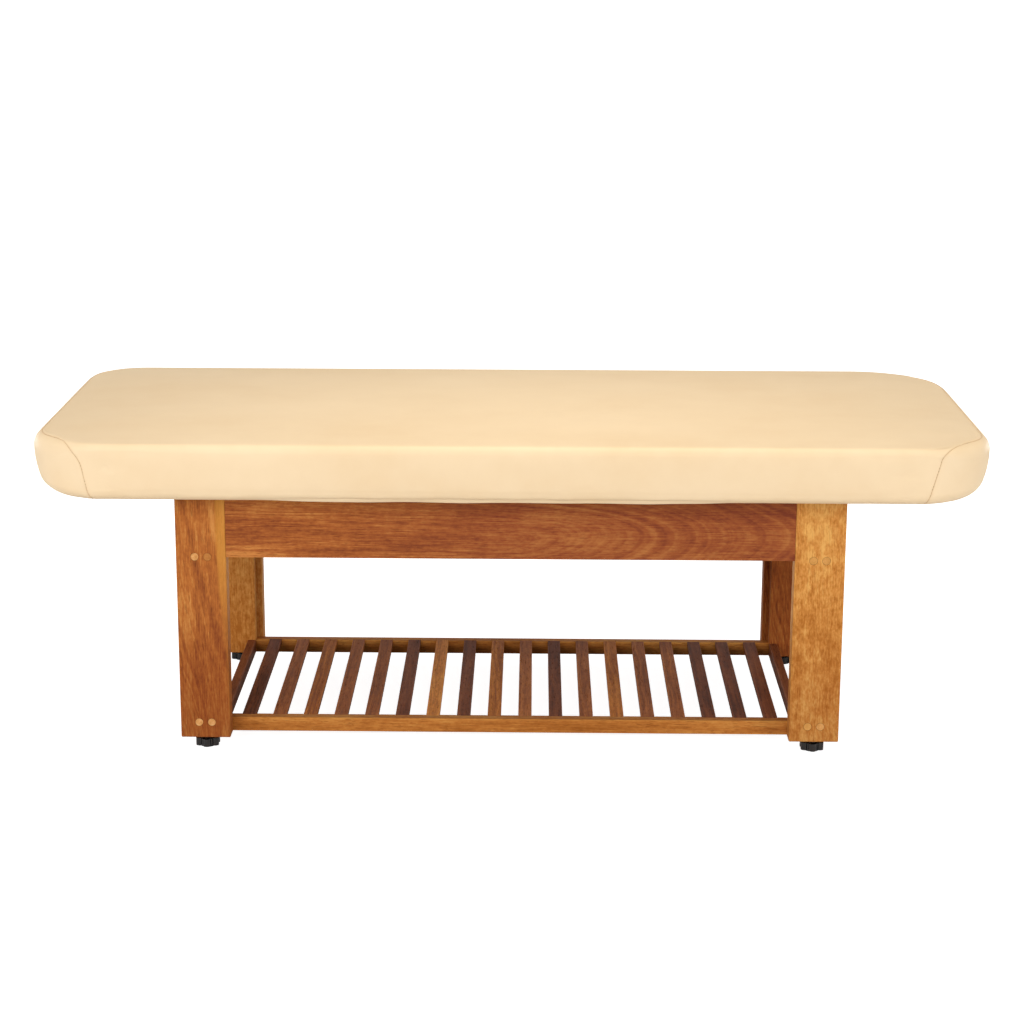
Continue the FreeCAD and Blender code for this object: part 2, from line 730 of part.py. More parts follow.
def add_revolution(body, name, sketch):
    """Turn a profile once round the sketch's upright axis."""
    turned = body.newObject("PartDesign::Revolution", name)
    turned.Profile = sketch
    turned.ReferenceAxis = (sketch, ["V_Axis"])
    turned.Angle = 360
    return turned


def foot_pad(side, face):
    """The rubber pad a foot stands on, with the spigot that the knob turns on."""
    label = FACE_NAMES[face] + "_" + SIDE_NAMES[side] + "_foot_pad"
    body = new_body(label, *foot_place(side, face, "0"))
    sketch = new_sketch(body, label + "_profile", "XZ_Plane")
    disc = size["pad_diameter"] / 2
    spigot = size["spigot_diameter"] / 2
    ease = size["pad_thickness"] / 4
    top = size["pad_thickness"] + size["spigot_height"]
    points = [
        (0, 0, "0", "0"),
        (disc - ease, 0, "pad_diameter / 2 - pad_thickness / 4", "0"),
        (disc, ease, "pad_diameter / 2", "pad_thickness / 4"),
        (disc, size["pad_thickness"], "pad_diameter / 2", "pad_thickness"),
        (spigot, size["pad_thickness"], "spigot_diameter / 2", "pad_thickness"),
        (spigot, top, "spigot_diameter / 2", "pad_thickness + spigot_height"),
        (0, top, "0", "pad_thickness + spigot_height"),
    ]
    draw_profile(sketch, points)
    add_revolution(body, label + "_turned", sketch)
    return body


def foot_knob(side, face):
    """The lobed hand knob of a foot: a turned core with a neck, and a ring of lobes."""
    label = FACE_NAMES[face] + "_" + SIDE_NAMES[side] + "_foot_knob"
    body = new_body(label, *foot_place(side, face, "pad_thickness + foot_running_gap"))
    core = size["knob_core_radius"]
    neck = size["neck_diameter"] / 2
    socket = size["spigot_diameter"] / 2 + size["stem_running"]
    bore = size["stem_diameter"] / 2 + size["stem_running"]
    tall = size["knob_height"]
    seat = size["stem_seat"]
    ease = size["knob_ease"]
    top = size["floor_gap"] - knob_bottom - size["foot_running_gap"]
    recess = size["spigot_height"]
    neck_top = "floor_gap - pad_thickness - 2 * foot_running_gap"
    socket_formula = "spigot_diameter / 2 + stem_running"
    bore_formula = "stem_diameter / 2 + stem_running"
    points = [
        (socket, 0, socket_formula, "0"),
        (core - ease, 0, "knob_core_radius - knob_ease", "0"),
        (core, ease, "knob_core_radius", "knob_ease"),
        (core, tall - ease, "knob_core_radius", "knob_height - knob_ease"),
        (core - ease, tall, "knob_core_radius - knob_ease", "knob_height"),
        (neck, tall, "neck_diameter / 2", "knob_height"),
        (neck, top, "neck_diameter / 2", neck_top),
        (bore, top, bore_formula, neck_top),
        (bore, seat, bore_formula, "stem_seat"),
        (0, seat, "0", "stem_seat"),
        (0, recess, "0", "spigot_height"),
        (socket, recess, socket_formula, "spigot_height"),
    ]
    profile = new_sketch(body, label + "_profile", "XZ_Plane")
    draw_profile(profile, points)
    add_revolution(body, label + "_core", profile)

    # One lobe at the front, and its copies round the axis
    lobe = new_sketch(body, label + "_lobe", "XY_Plane")
    pitch = size["knob_pitch_radius"]
    draw_circles(lobe, [(0, -pitch, "0", "-1 * knob_pitch_radius")], "2 * knob_lobe_radius")
    lobe_pad = add_pad(body, label + "_lobe_height", lobe, "knob_height")
    doc.recompute()
    ring = body.newObject("PartDesign::PolarPattern", label + "_lobes")
    ring.Originals = [lobe_pad]
    ring.Axis = (lobe, ["N_Axis"])
    ring.Angle = 360
    ring.Occurrences = KNOB_LOBES
    body.Tip = ring
    return body


def foot_stem(side, face):
    """The steel stem seated in the knob, which screws up into the leg's insert."""
    label = FACE_NAMES[face] + "_" + SIDE_NAMES[side] + "_foot_stem"
    body = new_body(label, *foot_place(side, face, "pad_thickness + foot_running_gap + stem_seat"))
    sketch = new_sketch(body, label + "_profile", "XZ_Plane")
    radius = size["stem_diameter"] / 2
    length = size["stem_length"]
    ease = size["knob_ease"]
    points = [
        (0, 0, "0", "0"),
        (radius, 0, "stem_diameter / 2", "0"),
        (radius, length - ease, "stem_diameter / 2", "stem_length - knob_ease"),
        (radius - ease, length, "stem_diameter / 2 - knob_ease", "stem_length"),
        (0, length, "0", "stem_length"),
    ]
    draw_profile(sketch, points)
    add_revolution(body, label + "_turned", sketch)
    return body


# Cushion
cushion_length = size["base_length"] + 2 * size["end_overhang"]
cushion_depth = size["base_depth"] + 2 * size["side_overhang"]
cushion_bottom = frame_top
shoulder_top = cushion_bottom + size["cushion_height"]


def outline(inset, end_inset, height, radius_share=None):
    """The cushion's plan outline: four lines and four corner arcs, drawn in by two insets.

    The long sides are drawn in by the inset and the ends by the end inset. The corner radii
    are drawn in by the inset too. Far in on the crown they are a share of the full radii
    instead, so that the arcs never close."""
    x = cushion_length / 2 - end_inset
    y = cushion_depth / 2 - inset
    corners = [
        (1, -1, size["front_corner_radius"]),
        (1, 1, size["back_right_corner_radius"]),
        (-1, 1, size["back_left_corner_radius"]),
        (-1, -1, size["front_corner_radius"]),
    ]
    arcs = []
    for sign_x, sign_y, full_radius in corners:
        radius = full_radius - inset if radius_share is None else full_radius * radius_share
        centre = Vector(sign_x * (x - radius), sign_y * (y - radius), height)
        side_point = centre + Vector(sign_x * radius, 0, 0)
        face_point = centre + Vector(0, sign_y * radius, 0)
        diagonal = radius / math.sqrt(2)
        middle = centre + Vector(sign_x * diagonal, sign_y * diagonal, 0)
        ends = (side_point, face_point) if sign_x == sign_y else (face_point, side_point)
        arcs.append(Part.Arc(ends[0], middle, ends[1]).toShape())
    edges = []
    for i in range(4):
        last = arcs[i - 1].Vertexes[-1].Point
        first = arcs[i].Vertexes[0].Point
        edges.append(Part.LineSegment(last, first).toShape())
        edges.append(arcs[i])
    return Part.Wire(edges)


def end_draw(height):
    """How far the ends are drawn in at a height: most at the foot, and none where they are widest."""
    below = cushion_bottom + size["widest_height"] - height
    return size["end_undercut"] * max(below / size["widest_height"], 0) ** 2


def end_shoulder_inset(skin, height):
    """How far the ends' own shoulder is drawn in at a height."""
    radius = size["end_shoulder_radius"]
    rise = max(height - shoulder_top + radius, 0)
    return radius - skin - math.sqrt(max((radius - skin) ** 2 - rise ** 2, 0))


def cushion_form(skin):
    """The cushion's whole form, drawn in all round by a skin's thickness.

    A loft through plan outlines: the rolled bottom edge, the sides drawn in at half height,
    the rounded shoulder, which is larger on the ends, and the crown."""
    roll = size["roll_radius"] - skin
    shoulder = size["shoulder_radius"] - skin
    end_shoulder = size["end_shoulder_radius"] - skin
    low = cushion_bottom + skin
    high = shoulder_top - skin
    turns = [math.radians(turn) for turn in ROUND_TURNS]
    rolled = [(roll * (1 - math.sin(turn)), low + roll * (1 - math.cos(turn))) for turn in turns]
    sections = [(inset, inset + end_draw(height), height) for inset, height in rolled]
    middle = (low + roll + high - shoulder) / 2
    sections.append((size["side_draw"], size["side_draw"] + end_draw(middle), middle))
    sections.append((0, 0, shoulder_top - size["end_shoulder_radius"]))
    for turn in turns:
        height = high - shoulder * (1 - math.sin(turn))
        sections.append((shoulder * (1 - math.cos(turn)), end_shoulder_inset(skin, height), height))
    wires = [outline(skin + inset, skin + end, height) for inset, end, height in sections]
    half = cushion_depth / 2
    for share in CROWN_INSET_SHARES:
        inset = skin + shoulder + (half - shoulder - skin) * share
        end_inset = skin + end_shoulder + (half - end_shoulder - skin) * share
        rise = size["cushion_crown"] * (1 - (1 - share) ** 2)
        wires.append(outline(inset, end_inset, high + rise, (half - inset) / half))
    return Part.makeLoft(wires, True, True)


def flat_outline(inset):
    """The outline of what lies flat at the cushion's bottom, inside the undercut of its ends."""
    return outline(inset, inset + size["end_undercut"], cushion_bottom)


def slab(low, high):
    """A block wider than the cushion, from one height to another."""
    length = 2 * cushion_length
    depth = 2 * cushion_depth
    return Part.makeBox(length, depth, high - low, Vector(-length / 2, -depth / 2, low))


def end_panel_region(side):
    """The space of one end panel: an upright prism whose inner edge is the corner seam."""
    foot = cushion_length / 2 - size["seam_foot_inset"]
    top = cushion_length / 2 - size["seam_top_inset"]
    beyond = cushion_length
    low = cushion_bottom - size["cushion_height"]
    high = shoulder_top - size["seam_drop"]
    bend_x = foot + (top - foot) / 3
    bend_z = (cushion_bottom + high) / 2
    start = Vector(side * foot, 0, cushion_bottom)
    turn = Vector(side * bend_x, 0, bend_z)
    end = Vector(side * top, 0, high)
    edges = [
        Part.LineSegment(Vector(side * foot, 0, low), start).toShape(),
        Part.Arc(start, turn, end).toShape(),
        Part.LineSegment(end, Vector(side * beyond, 0, high)).toShape(),
        Part.LineSegment(Vector(side * beyond, 0, high), Vector(side * beyond, 0, low)).toShape(),
        Part.LineSegment(Vector(side * beyond, 0, low), Vector(side * foot, 0, low)).toShape(),
    ]
    depth = 2 * cushion_depth
    region = Part.Face(Part.Wire(edges)).extrude(ACROSS * depth)
    region.translate(ACROSS * (-depth / 2))
    return region


def cover_panels():
    """The cover: one panel over the top and long sides, and a panel round each end."""
    thickness = size["cover_thickness"]
    shell = cushion_form(0).cut(cushion_form(thickness))
    window = Part.Face(flat_outline(size["hem_width"])).extrude(UP * size["roll_radius"])
    shell = shell.cut(window)
    regions = {side: end_panel_region(side) for side in (LEFT, RIGHT)}
    for side, region in regions.items():
        part_feature(SIDE_NAMES[side] + "_end_cover", shell.common(region))
    part_feature("main_cover", shell.cut(regions[LEFT]).cut(regions[RIGHT]))


deck_bottom = cushion_bottom + size["cover_thickness"]
deck_top = deck_bottom + size["deck_thickness"]


def deck_board():
    """The plywood deck, bored for the screws that hold it on the cleats."""
    deck = Part.Face(flat_outline(size["deck_inset"])).extrude(UP * size["deck_thickness"])
    deck.translate(UP * size["cover_thickness"])
    radius = size["screw_diameter"] / 2 + size["screw_clearance"]
    for place in deck_screw_places:
        deck = deck.cut(Part.makeCylinder(radius, frame_top, place))
    return part_feature("deck_board", deck)


def dust_cover():
    """The thin cloth under the deck, inside the cover's hem."""
    inset = size["hem_width"] + size["foam_clearance"]
    height = size["dust_cover_thickness"]
    sheet_solid = Part.Face(flat_outline(inset)).extrude(UP * height)
    radius = size["screw_diameter"] / 2 + size["foam_clearance"]
    for place in deck_screw_places:
        sheet_solid = sheet_solid.cut(Part.makeCylinder(radius, frame_top, place))
    return part_feature("dust_cover", sheet_solid)


def foam_layers():
    """Firm foam glued on the deck, and soft foam over it up to the crown."""
    gap = size["foam_clearance"]
    core = cushion_form(size["cover_thickness"] + gap)
    low = deck_top + gap
    split = low + size["firm_foam_thickness"]
    top = shoulder_top + size["cushion_height"]
    part_feature("firm_foam", core.common(slab(low, split)))
    part_feature("soft_foam", core.common(slab(split + gap, top)))


# Build everything
def build():
    """Make every piece and return the labels in order."""
    for side, face in CORNERS:
        leg_board(side, face)
        leg_block(side, face)
    for face in (FRONT, BACK):
        long_apron(face)
        long_rail(face)
    for side in (LEFT, RIGHT):
        end_apron(side)
        end_rail(side)
    for number in range(SLAT_COUNT):
        shelf_slat(number)
    screw_plugs()
    leg_screws()
    dowels()
    deck_cleats()
    deck_bearers()
    deck_screws()
    foot_inserts()
    for side, face in CORNERS:
        foot_pad(side, face)
        foot_knob(side, face)
        foot_stem(side, face)
    cover_panels()
    deck_board()
    dust_cover()
    foam_layers()


def check_and_export():
    """Check every object, then write one file for each piece."""
    doc.recompute()
    for item in doc.Objects:
        if "Invalid" in item.State or "Error" in item.State:
            raise ValueError(item.Label + " failed: " + str(item.State))
    pieces = [item for item in doc.Objects if item.TypeId in ("PartDesign::Body", "Part::Feature")]
    os.makedirs("parts", exist_ok=True)
    for piece in pieces:
        if piece.Shape.isNull() or not piece.Shape.isValid():
            raise ValueError(piece.Label + " has no valid shape")
    for piece in pieces:
        piece.Shape.exportStep("parts/" + piece.Label + ".step")
    print(len(pieces), "pieces written")


build()
check_and_export()
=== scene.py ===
import math

import bpy
import numpy as np
from mathutils import Matrix, Vector


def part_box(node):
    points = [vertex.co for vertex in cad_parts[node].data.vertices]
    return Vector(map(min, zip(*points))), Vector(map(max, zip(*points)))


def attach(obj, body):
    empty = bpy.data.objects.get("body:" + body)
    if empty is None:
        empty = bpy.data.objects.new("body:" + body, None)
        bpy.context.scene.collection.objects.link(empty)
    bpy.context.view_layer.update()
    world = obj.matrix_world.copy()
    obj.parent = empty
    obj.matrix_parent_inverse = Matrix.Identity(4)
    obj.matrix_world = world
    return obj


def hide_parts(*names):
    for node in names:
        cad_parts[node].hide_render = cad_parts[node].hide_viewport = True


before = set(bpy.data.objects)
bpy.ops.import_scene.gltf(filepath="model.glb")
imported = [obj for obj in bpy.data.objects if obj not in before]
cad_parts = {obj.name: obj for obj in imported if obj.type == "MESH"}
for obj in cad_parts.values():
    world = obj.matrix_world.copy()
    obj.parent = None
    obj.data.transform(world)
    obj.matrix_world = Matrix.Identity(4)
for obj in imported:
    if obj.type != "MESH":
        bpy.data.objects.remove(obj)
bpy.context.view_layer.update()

# Sizes of the cushion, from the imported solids. Metres.
HALF_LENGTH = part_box("right_end_cover")[1].x
HALF_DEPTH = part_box("main_cover")[1].y
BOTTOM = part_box("main_cover")[0].z
CROWN_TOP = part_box("main_cover")[1].z
DECK_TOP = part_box("deck_board")[1].z

# Form of the cushion
FRONT_RADIUS = 0.160
BACK_RIGHT_RADIUS = 0.195
BACK_LEFT_RADIUS = 0.125
CROWN = 0.009
SHOULDER_TOP = CROWN_TOP - CROWN
SHOULDER = 0.015
END_SHOULDER = 0.024
CORNER_SHOULDER = 0.036
ROLL = 0.026
UNDERCUT = 0.020
WIDEST = 0.091
HEM = 0.060
SKIN = 0.0012
CLOTH_SKIN = 0.0006
FOAM_GAP = 0.0015
SPINE_REACH = HALF_LENGTH - HALF_DEPTH
CUSHION_SIDE = 0.120
FIRM_FOAM = 0.060

# Corner seams, -1 at the left end and 1 at the right: how far from the middle their feet are, their slant,
# and the height of their turn. All reach the same distance at their top, a few rows of the cover below its
# ridge. Past the seam corner they run along the ends, where their groove and needle line fade.
SEAM_FEET = {-1: 0.833, 1: 0.822}
SEAM_SLANTS = {-1: 0.020, 1: 0.030}
SEAM_TURNS = {-1: 0.050, 1: 0.026}
SEAM_REACH = 0.918
SEAM_ROWS_DOWN = 4
SEAM_WARP = 0.26
SEAM_CORNER = 0.905
SEAM_FADE = 0.030
STITCH_PITCH = 0.0062
STITCH_LENGTH = 0.0044
STITCH_RADIUS = 0.0005
STITCH_LIFT = 0.0003

# Columns round the plan, of the cover and of what lies inside it, and how the cover is blown up
COVER_COLUMNS = 640
INNER_COLUMNS = 240
CLOTH_FRAMES = 20
CLOTH_SETTINGS = {
    "quality": 5, "mass": 0.3, "tension_stiffness": 12, "compression_stiffness": 12, "bending_stiffness": 0.4,
    "use_pressure": True, "uniform_pressure_force": 4, "vertex_group_mass": "hold",
    "vertex_group_shrink": "gather", "shrink_max": 0.03,
}

LEGS = [(face, side) for face in ("front", "back") for side in ("left", "right")]
SLATS = [f"shelf_slat_{number:02d}" for number in range(1, 19)]


# Node trees written as expressions
def arithmetic(operation, turned=False):
    """A method of Term that adds a Math node. Turned puts the Term after what it is given."""
    def method(term, *others):
        values = (*others, term) if turned else (term, *others)
        return term.finish.node("ShaderNodeMath", {"operation": operation}, dict(enumerate(values)))
    return method


class Term:
    """One socket of a finish. Arithmetic on a Term adds its Math node."""

    def __init__(self, finish, socket):
        self.finish = finish
        self.socket = socket

    __add__ = arithmetic("ADD")
    __sub__ = arithmetic("SUBTRACT")
    __mul__ = arithmetic("MULTIPLY")
    __radd__ = arithmetic("ADD", turned=True)
    __rsub__ = arithmetic("SUBTRACT", turned=True)
    __abs__ = arithmetic("ABSOLUTE")
    root = arithmetic("SQRT")
    sine = arithmetic("SINE")
    at_least = arithmetic("MAXIMUM")


class Finish:
    """One material or world and its nodes, with the place on the object as a Term."""

    def __init__(self, name, kind="materials"):
        self.owner = getattr(bpy.data, kind).new(name)
        self.owner.use_nodes = True
        self.tree = self.owner.node_tree
        self.tree.nodes.clear()
        self.place = self.node("ShaderNodeTexCoord", {}, {}, "Object")

    def node(self, kind, settings, sockets, output=0):
        """Add a node: its settings first, then its sockets, each a link, a value or a colour's digits."""
        made = self.tree.nodes.new(kind)
        for name, value in settings.items():
            if name == "stops":
                fill_ramp(made.color_ramp, value)
            else:
                setattr(made, name, value)
        for key, value in sockets.items():
            if isinstance(value, Term):
                self.tree.links.new(value.socket, made.inputs[key])
            else:
                made.inputs[key].default_value = colour(value) if isinstance(value, str) else value
        return Term(self, made.outputs[output]) if made.outputs else None

    def vector(self, operation, place, other):
        return self.node("ShaderNodeVectorMath", {"operation": operation}, {0: place, 1: other})

    def axes(self, names, place=None):
        return [self.node("ShaderNodeSeparateXYZ", {}, {0: place or self.place}, name) for name in names]

    def joined(self, x, y, z):
        return self.node("ShaderNodeCombineXYZ", {}, {0: x, 1: y, 2: z})

    def noise(self, scale, detail=2.0, roughness=0.5, place=None):
        """A noise with one scale, or with a scale for each axis."""
        place = place or self.place
        if isinstance(scale, tuple):
            place, scale = self.vector("MULTIPLY", place, scale), 1.0
        sockets = {"Vector": place, "Scale": scale, "Detail": detail, "Roughness": roughness}
        return self.node("ShaderNodeTexNoise", {}, sockets)

    def line_noise(self, along, scale):
        sockets = {"W": along, "Scale": scale, "Detail": 3.0}
        return self.node("ShaderNodeTexNoise", {"noise_dimensions": "1D"}, sockets)

    def step(self, value, low, high):
        """0 below low, 1 above high, and a smooth step between them."""
        sockets = {"Value": value, "From Min": low, "From Max": high}
        return self.node("ShaderNodeMapRange", {"interpolation_type": "SMOOTHSTEP"}, sockets)

    def ramp(self, value, stops):
        return self.node("ShaderNodeValToRGB", {"stops": stops}, {0: value})

    def blend(self, share, first, second):
        return self.node("ShaderNodeMix", {"data_type": "RGBA"}, {0: share, 6: first, 7: second}, 2)

    def surface(self, base, roughness, height, relief, **fixed):
        """Principled shader and output. Height in 0 to 1 is a bump of the given relief in metres."""
        bump = self.node("ShaderNodeBump", {}, {"Distance": relief, "Height": height})
        sockets = {name.replace("_", " "): value for name, value in fixed.items()}
        sockets.update({"Base Color": base, "Roughness": roughness, "Normal": bump})
        shader = self.node("ShaderNodeBsdfPrincipled", {}, sockets)
        self.node("ShaderNodeOutputMaterial", {}, {"Surface": shader})
        return self.owner


def fill_ramp(ramp, stops):
    """Give a colour ramp its stops, each a position and a colour's digits."""
    while len(ramp.elements) < len(stops):
        ramp.elements.new(1.0)
    for element, (position, shade) in zip(ramp.elements, stops):
        element.position = position
        element.color = colour(shade)


def colour(code):
    """A colour written as six hexadecimal digits, as linear light."""
    parts = [int(code[i:i + 2], 16) / 255 for i in (0, 2, 4)]
    linear = [part / 12.92 if part <= 0.04045 else ((part + 0.055) / 1.055) ** 2.4 for part in parts]
    return (*linear, 1.0)


# Wood
# Each look has four tones, dark to light and then the pores, and how strongly each part of its grain shows.
# The pith is the middle of the growth rings, from the middle of the piece, and the rings lean with the slope.
WOODS = {
    "red": {
        "tones": ("834423", "b16830", "ce8e4b", "4f2810"), "pith": (0.05, 0.09), "slope": 0.22, "curl": 0.35,
    },
    # The deep look, a darker copy of the red look, is painted shade on the back right leg.
    "deep": {"tones": ("6f3419", "9a5224", "b67337", "45200b"), "pith": (0.05, 0.09), "slope": 0.22},
    "gold": {
        "tones": ("a66728", "cc8b45", "e6b062", "744516"), "pith": (0.02, 0.16), "slope": 0.03,
        "curl": 1.0, "growth": 0.22, "streak": 0.3, "pores": 0.2,
    },
    "apron": {
        "tones": ("7b3e22", "a65e2e", "c58042", "53280d"), "pith": (-0.025, 0.0), "lean": 0.24,
        "lean_start": -0.10, "growth": 0.62, "curl": 0.38, "streak": 0.36, "rings": 170.0,
    },
    "rail": {"tones": ("995821", "bb7535", "d3954b", "5d2f0e"), "pith": (0.03, 0.12), "flecks": 0.6},
    "walnut": {"tones": ("844b28", "aa6233", "ca7c42", "4f2611"), "pith": (0.03, 0.05)},
    "dark": {"tones": ("60331e", "82482a", "9b5b37", "3b1b0e"), "pith": (0.02, 0.06)},
    "warm": {"tones": ("8f4d21", "b76929", "da883b", "592d10"), "pith": (0.04, 0.05)},
    "honey": {"tones": ("b66c2d", "e49042", "ffb359", "713d19"), "pith": (0.03, 0.07)},
    "pale": {"tones": ("a5793f", "c79a60", "dcb784", "7c5527"), "pith": (0.05, 0.09)},
}
# Looks of the front left, front right, back left and back right legs; the deep look of the back right leg is
# painted shade.
LEG_LOOKS = ("red", "gold", "gold", "deep")
# Slats 1 and 18, beside the legs, take the dark look as painted shade; the looks of the others vary from slat
# to slat.
SLAT_LOOKS = (
    "dark", "walnut", "warm", "walnut", "walnut", "dark", "honey", "dark", "warm",
    "walnut", "dark", "walnut", "warm", "walnut", "walnut", "dark", "dark", "dark",
)

PLAIN_WOOD = {
    "slope": 0.0, "lean": 0.0, "lean_start": 0.0, "curl": 0.3, "growth": 0.45, "streak": 0.42, "rings": 230.0,
    "flecks": 0.3, "pores": 0.35, "gloss": 0.06,
}

# Which two axes lie across the grain, and which runs along it
ACROSS_GRAIN = {"x": (2, 1, 0), "y": (0, 2, 1), "z": (0, 1, 2)}

# Stains laid over some of the boards, and the two lines that the photo shows on the legs
RED_STAIN = "6a2208"
GOLD_STAIN = "b4601e"
APRON_STAIN = "76342b"
GLUE_LINE = "4a2410"
SAPWOOD = "c8883a"
LEG_TOP = 0.549
PLUG_RADIUS = 0.0078
HALF_PLUG_SPACING = 0.013


def edge_wear(finish, parts, order, low, high, width=0.0035):
    """1 near the long edges of a bar and 0 on its faces: a product of two steps across the grain."""
    share = 1.0
    for axis in order[:2]:
        middle = (low[axis] + high[axis]) / 2
        half = (high[axis] - low[axis]) / 2
        share = finish.step(abs(parts[axis] - middle), half - width, half) * share
    return share


class Wood:
    """Oiled hardwood as a solid pattern, kept open so that marks can be added before it is closed.

    Growth lines are a noise along the distance from a pith line, which slopes and leans away
    along the grain. Fibres, streaks, pores and flecks are noises stretched along the grain, and
    curl is how strongly its patches and fine specks show."""

    def __init__(self, node, grain, look_name, seed):
        look = {**PLAIN_WOOD, **WOODS[look_name]}
        self.low, self.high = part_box(node)
        finish = Finish("wood_" + node)
        self.finish = finish
        order = ACROSS_GRAIN[grain]
        self.place = finish.place
        self.parts = finish.axes("XYZ")
        middle = [(self.low[axis] + self.high[axis]) / 2 for axis in order]
        along = self.parts[order[2]]
        across = finish.joined(self.parts[order[0]], self.parts[order[1]], along)
        finish.place = finish.vector("ADD", across, (seed * 1.37, seed * 2.11, seed * 0.73))

        sway = finish.noise((9.0, 9.0, 2.6)) - 0.5
        ripple = finish.noise((60.0, 60.0, 11.0)) - 0.5
        slope = (along - middle[2]) * look["slope"]
        lean = (along - look["lean_start"]).at_least(0.0) * look["lean"]
        first = self.parts[order[0]] - (middle[0] + look["pith"][0]) + slope + sway * 0.05 + ripple * 0.004
        second = self.parts[order[1]] - (middle[1] + look["pith"][1]) + lean
        distance = (first * first + second * second).root()
        growth = finish.line_noise(distance, look["rings"]) - 0.5
        broad = finish.noise((14.0, 14.0, 3.0), 3.0) - 0.5
        streak = finish.noise((95.0, 95.0, 5.0), 3.0) - 0.5
        fibre = finish.noise((560.0, 560.0, 20.0), 3.0) - 0.5
        mottle = finish.noise((70.0, 70.0, 45.0), 4.0, 0.65) - 0.5
        pepper = finish.noise((250.0, 250.0, 120.0)) - 0.5
        dark, middle_tone, light, pore_tone = look["tones"]
        tone = 0.5 + growth * look["growth"] + broad * 0.9 + streak * look["streak"] + fibre * 0.7
        tone = tone + mottle * look["curl"] + pepper * (0.15 + look["curl"] * 0.5)
        self.pore_tone = pore_tone
        self.gloss = look["gloss"]
        self.base = finish.ramp(tone, [(0.2, dark), (0.5, middle_tone), (0.8, light)])
        pores = finish.step(finish.noise((420.0, 420.0, 40.0)), 0.60, 0.68)
        flecks = finish.step(finish.noise((300.0, 300.0, 62.0)), 0.60, 0.67)
        self.base = finish.blend(pores * look["pores"], self.base, pore_tone)
        self.base = finish.blend(flecks * look["flecks"], self.base, dark)
        wear = edge_wear(finish, self.parts, order, self.low, self.high)
        self.base = finish.blend(wear * 0.25, self.base, light)
        self.roughness = 0.44 + fibre * 0.14 + pores * 0.2 - wear * 0.08
        self.height = 0.6 + fibre * 0.35 - pores * 0.5 + growth * 0.2

    def stain(self, share, tone):
        """Lay a tone over the wood where the share is high."""
        self.base = self.finish.blend(share, self.base, tone)

    def darken_below(self, low, high, strength, tone=None):
        """Darken the wood below a height. Where it is used on the back shelf rail and on the slats' sides,
        this is painted shade.
        """
        share = 1.0 - self.finish.step(self.parts[2], low, high)
        self.stain(share * strength, tone or self.pore_tone)

    def closed(self):
        fixed = {"Specular_IOR_Level": self.gloss}
        return self.finish.surface(self.base, self.roughness, self.height, 0.00035, **fixed)


def mark_plugs(wood):
    """Dark glue lines round the wood plugs of a leg board, as rings about their centres."""
    finish = wood.finish
    low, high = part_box("screw_plugs")
    x, z = wood.parts[0], wood.parts[2]
    across = (high.x - low.x) / 2 - PLUG_RADIUS - HALF_PLUG_SPACING
    beside = abs(abs(x) - across) - HALF_PLUG_SPACING
    share = 0.0
    for level in (low.z + PLUG_RADIUS, high.z - PLUG_RADIUS):
        reach = (beside * beside + (z - level) * (z - level)).root()
        share = 1.0 - finish.step(abs(reach - PLUG_RADIUS), 0.0003, 0.0012) + share
    wood.stain(share * 0.65, GLUE_LINE)


def mark_sapwood(wood):
    """A golden strip down the upper inner edge of the front left leg."""
    finish = wood.finish
    x, z = wood.parts[0], wood.parts[2]
    sway = finish.noise((20.0, 20.0, 7.0), place=wood.place) - 0.5
    strip = finish.step(x + sway * 0.016 + (z - LEG_TOP) * 0.05, -0.604, -0.595)
    upper = finish.step(z, 0.20, 0.44)
    wood.stain(strip * (0.15 + upper * 0.55), SAPWOOD)


def wood_finishes():
    """One wood material for each board, bar and slat."""
    finishes = {}
    for number, (face, side) in enumerate(LEGS):
        look = LEG_LOOKS[number]
        for part in ("board", "block"):
            node = f"{face}_{side}_leg_{part}"
            wood = Wood(node, "z", look, 3.1 + number * 1.9)
            if face == "front":
                wood.darken_below(0.08, 0.36, 0.42 if side == "left" else 0.28, RED_STAIN)
            if look == "gold":
                wood.stain(0.15 if face == "front" else 0.30, GOLD_STAIN)
            if part == "board":
                mark_plugs(wood)
            if node == "front_left_leg_board":
                mark_sapwood(wood)
            finishes[node] = wood.closed()
    for number, face in enumerate(("front", "back")):
        apron = Wood(face + "_apron", "x", "apron", 1.7 + number)
        apron.stain(apron.finish.step(apron.parts[0], -0.45, 0.05) * 0.36, APRON_STAIN)
        finishes[face + "_apron"] = apron.closed()
        rail = Wood(face + "_shelf_rail", "x", "rail", 5.3 + number)
        if face == "back":
            # Painted shade: the back shelf rail darkened towards its bottom edge.
            rail.darken_below(0.034, 0.050, 0.6)
        finishes[face + "_shelf_rail"] = rail.closed()
    for number, side in enumerate(("left", "right")):
        finishes[side + "_apron"] = Wood(side + "_apron", "y", "apron", 8.9 + number).closed()
        finishes[side + "_shelf_rail"] = Wood(side + "_shelf_rail", "y", "dark", 9.9 + number).closed()
    for number, node in enumerate(SLATS):
        slat = Wood(node, "y", SLAT_LOOKS[number], 12.0 + number * 1.31)
        # Painted shade: each slat darkened below its top face, so that its sides show dark.
        slat.darken_below(slat.low.z, slat.high.z - 0.001, 0.8)
        # Painted shadow of the cushion: each slat darkened towards the back.
        slat.stain(slat.finish.step(slat.parts[1], 0.05, 0.31) * 0.28, slat.pore_tone)
        finishes[node] = slat.closed()
    for number, node in enumerate(("dowels", "deck_cleats", "deck_bearers")):
        grain = "y" if node == "deck_bearers" else "x"
        finishes[node] = Wood(node, grain, "pale", 41.0 + number).closed()
    return finishes


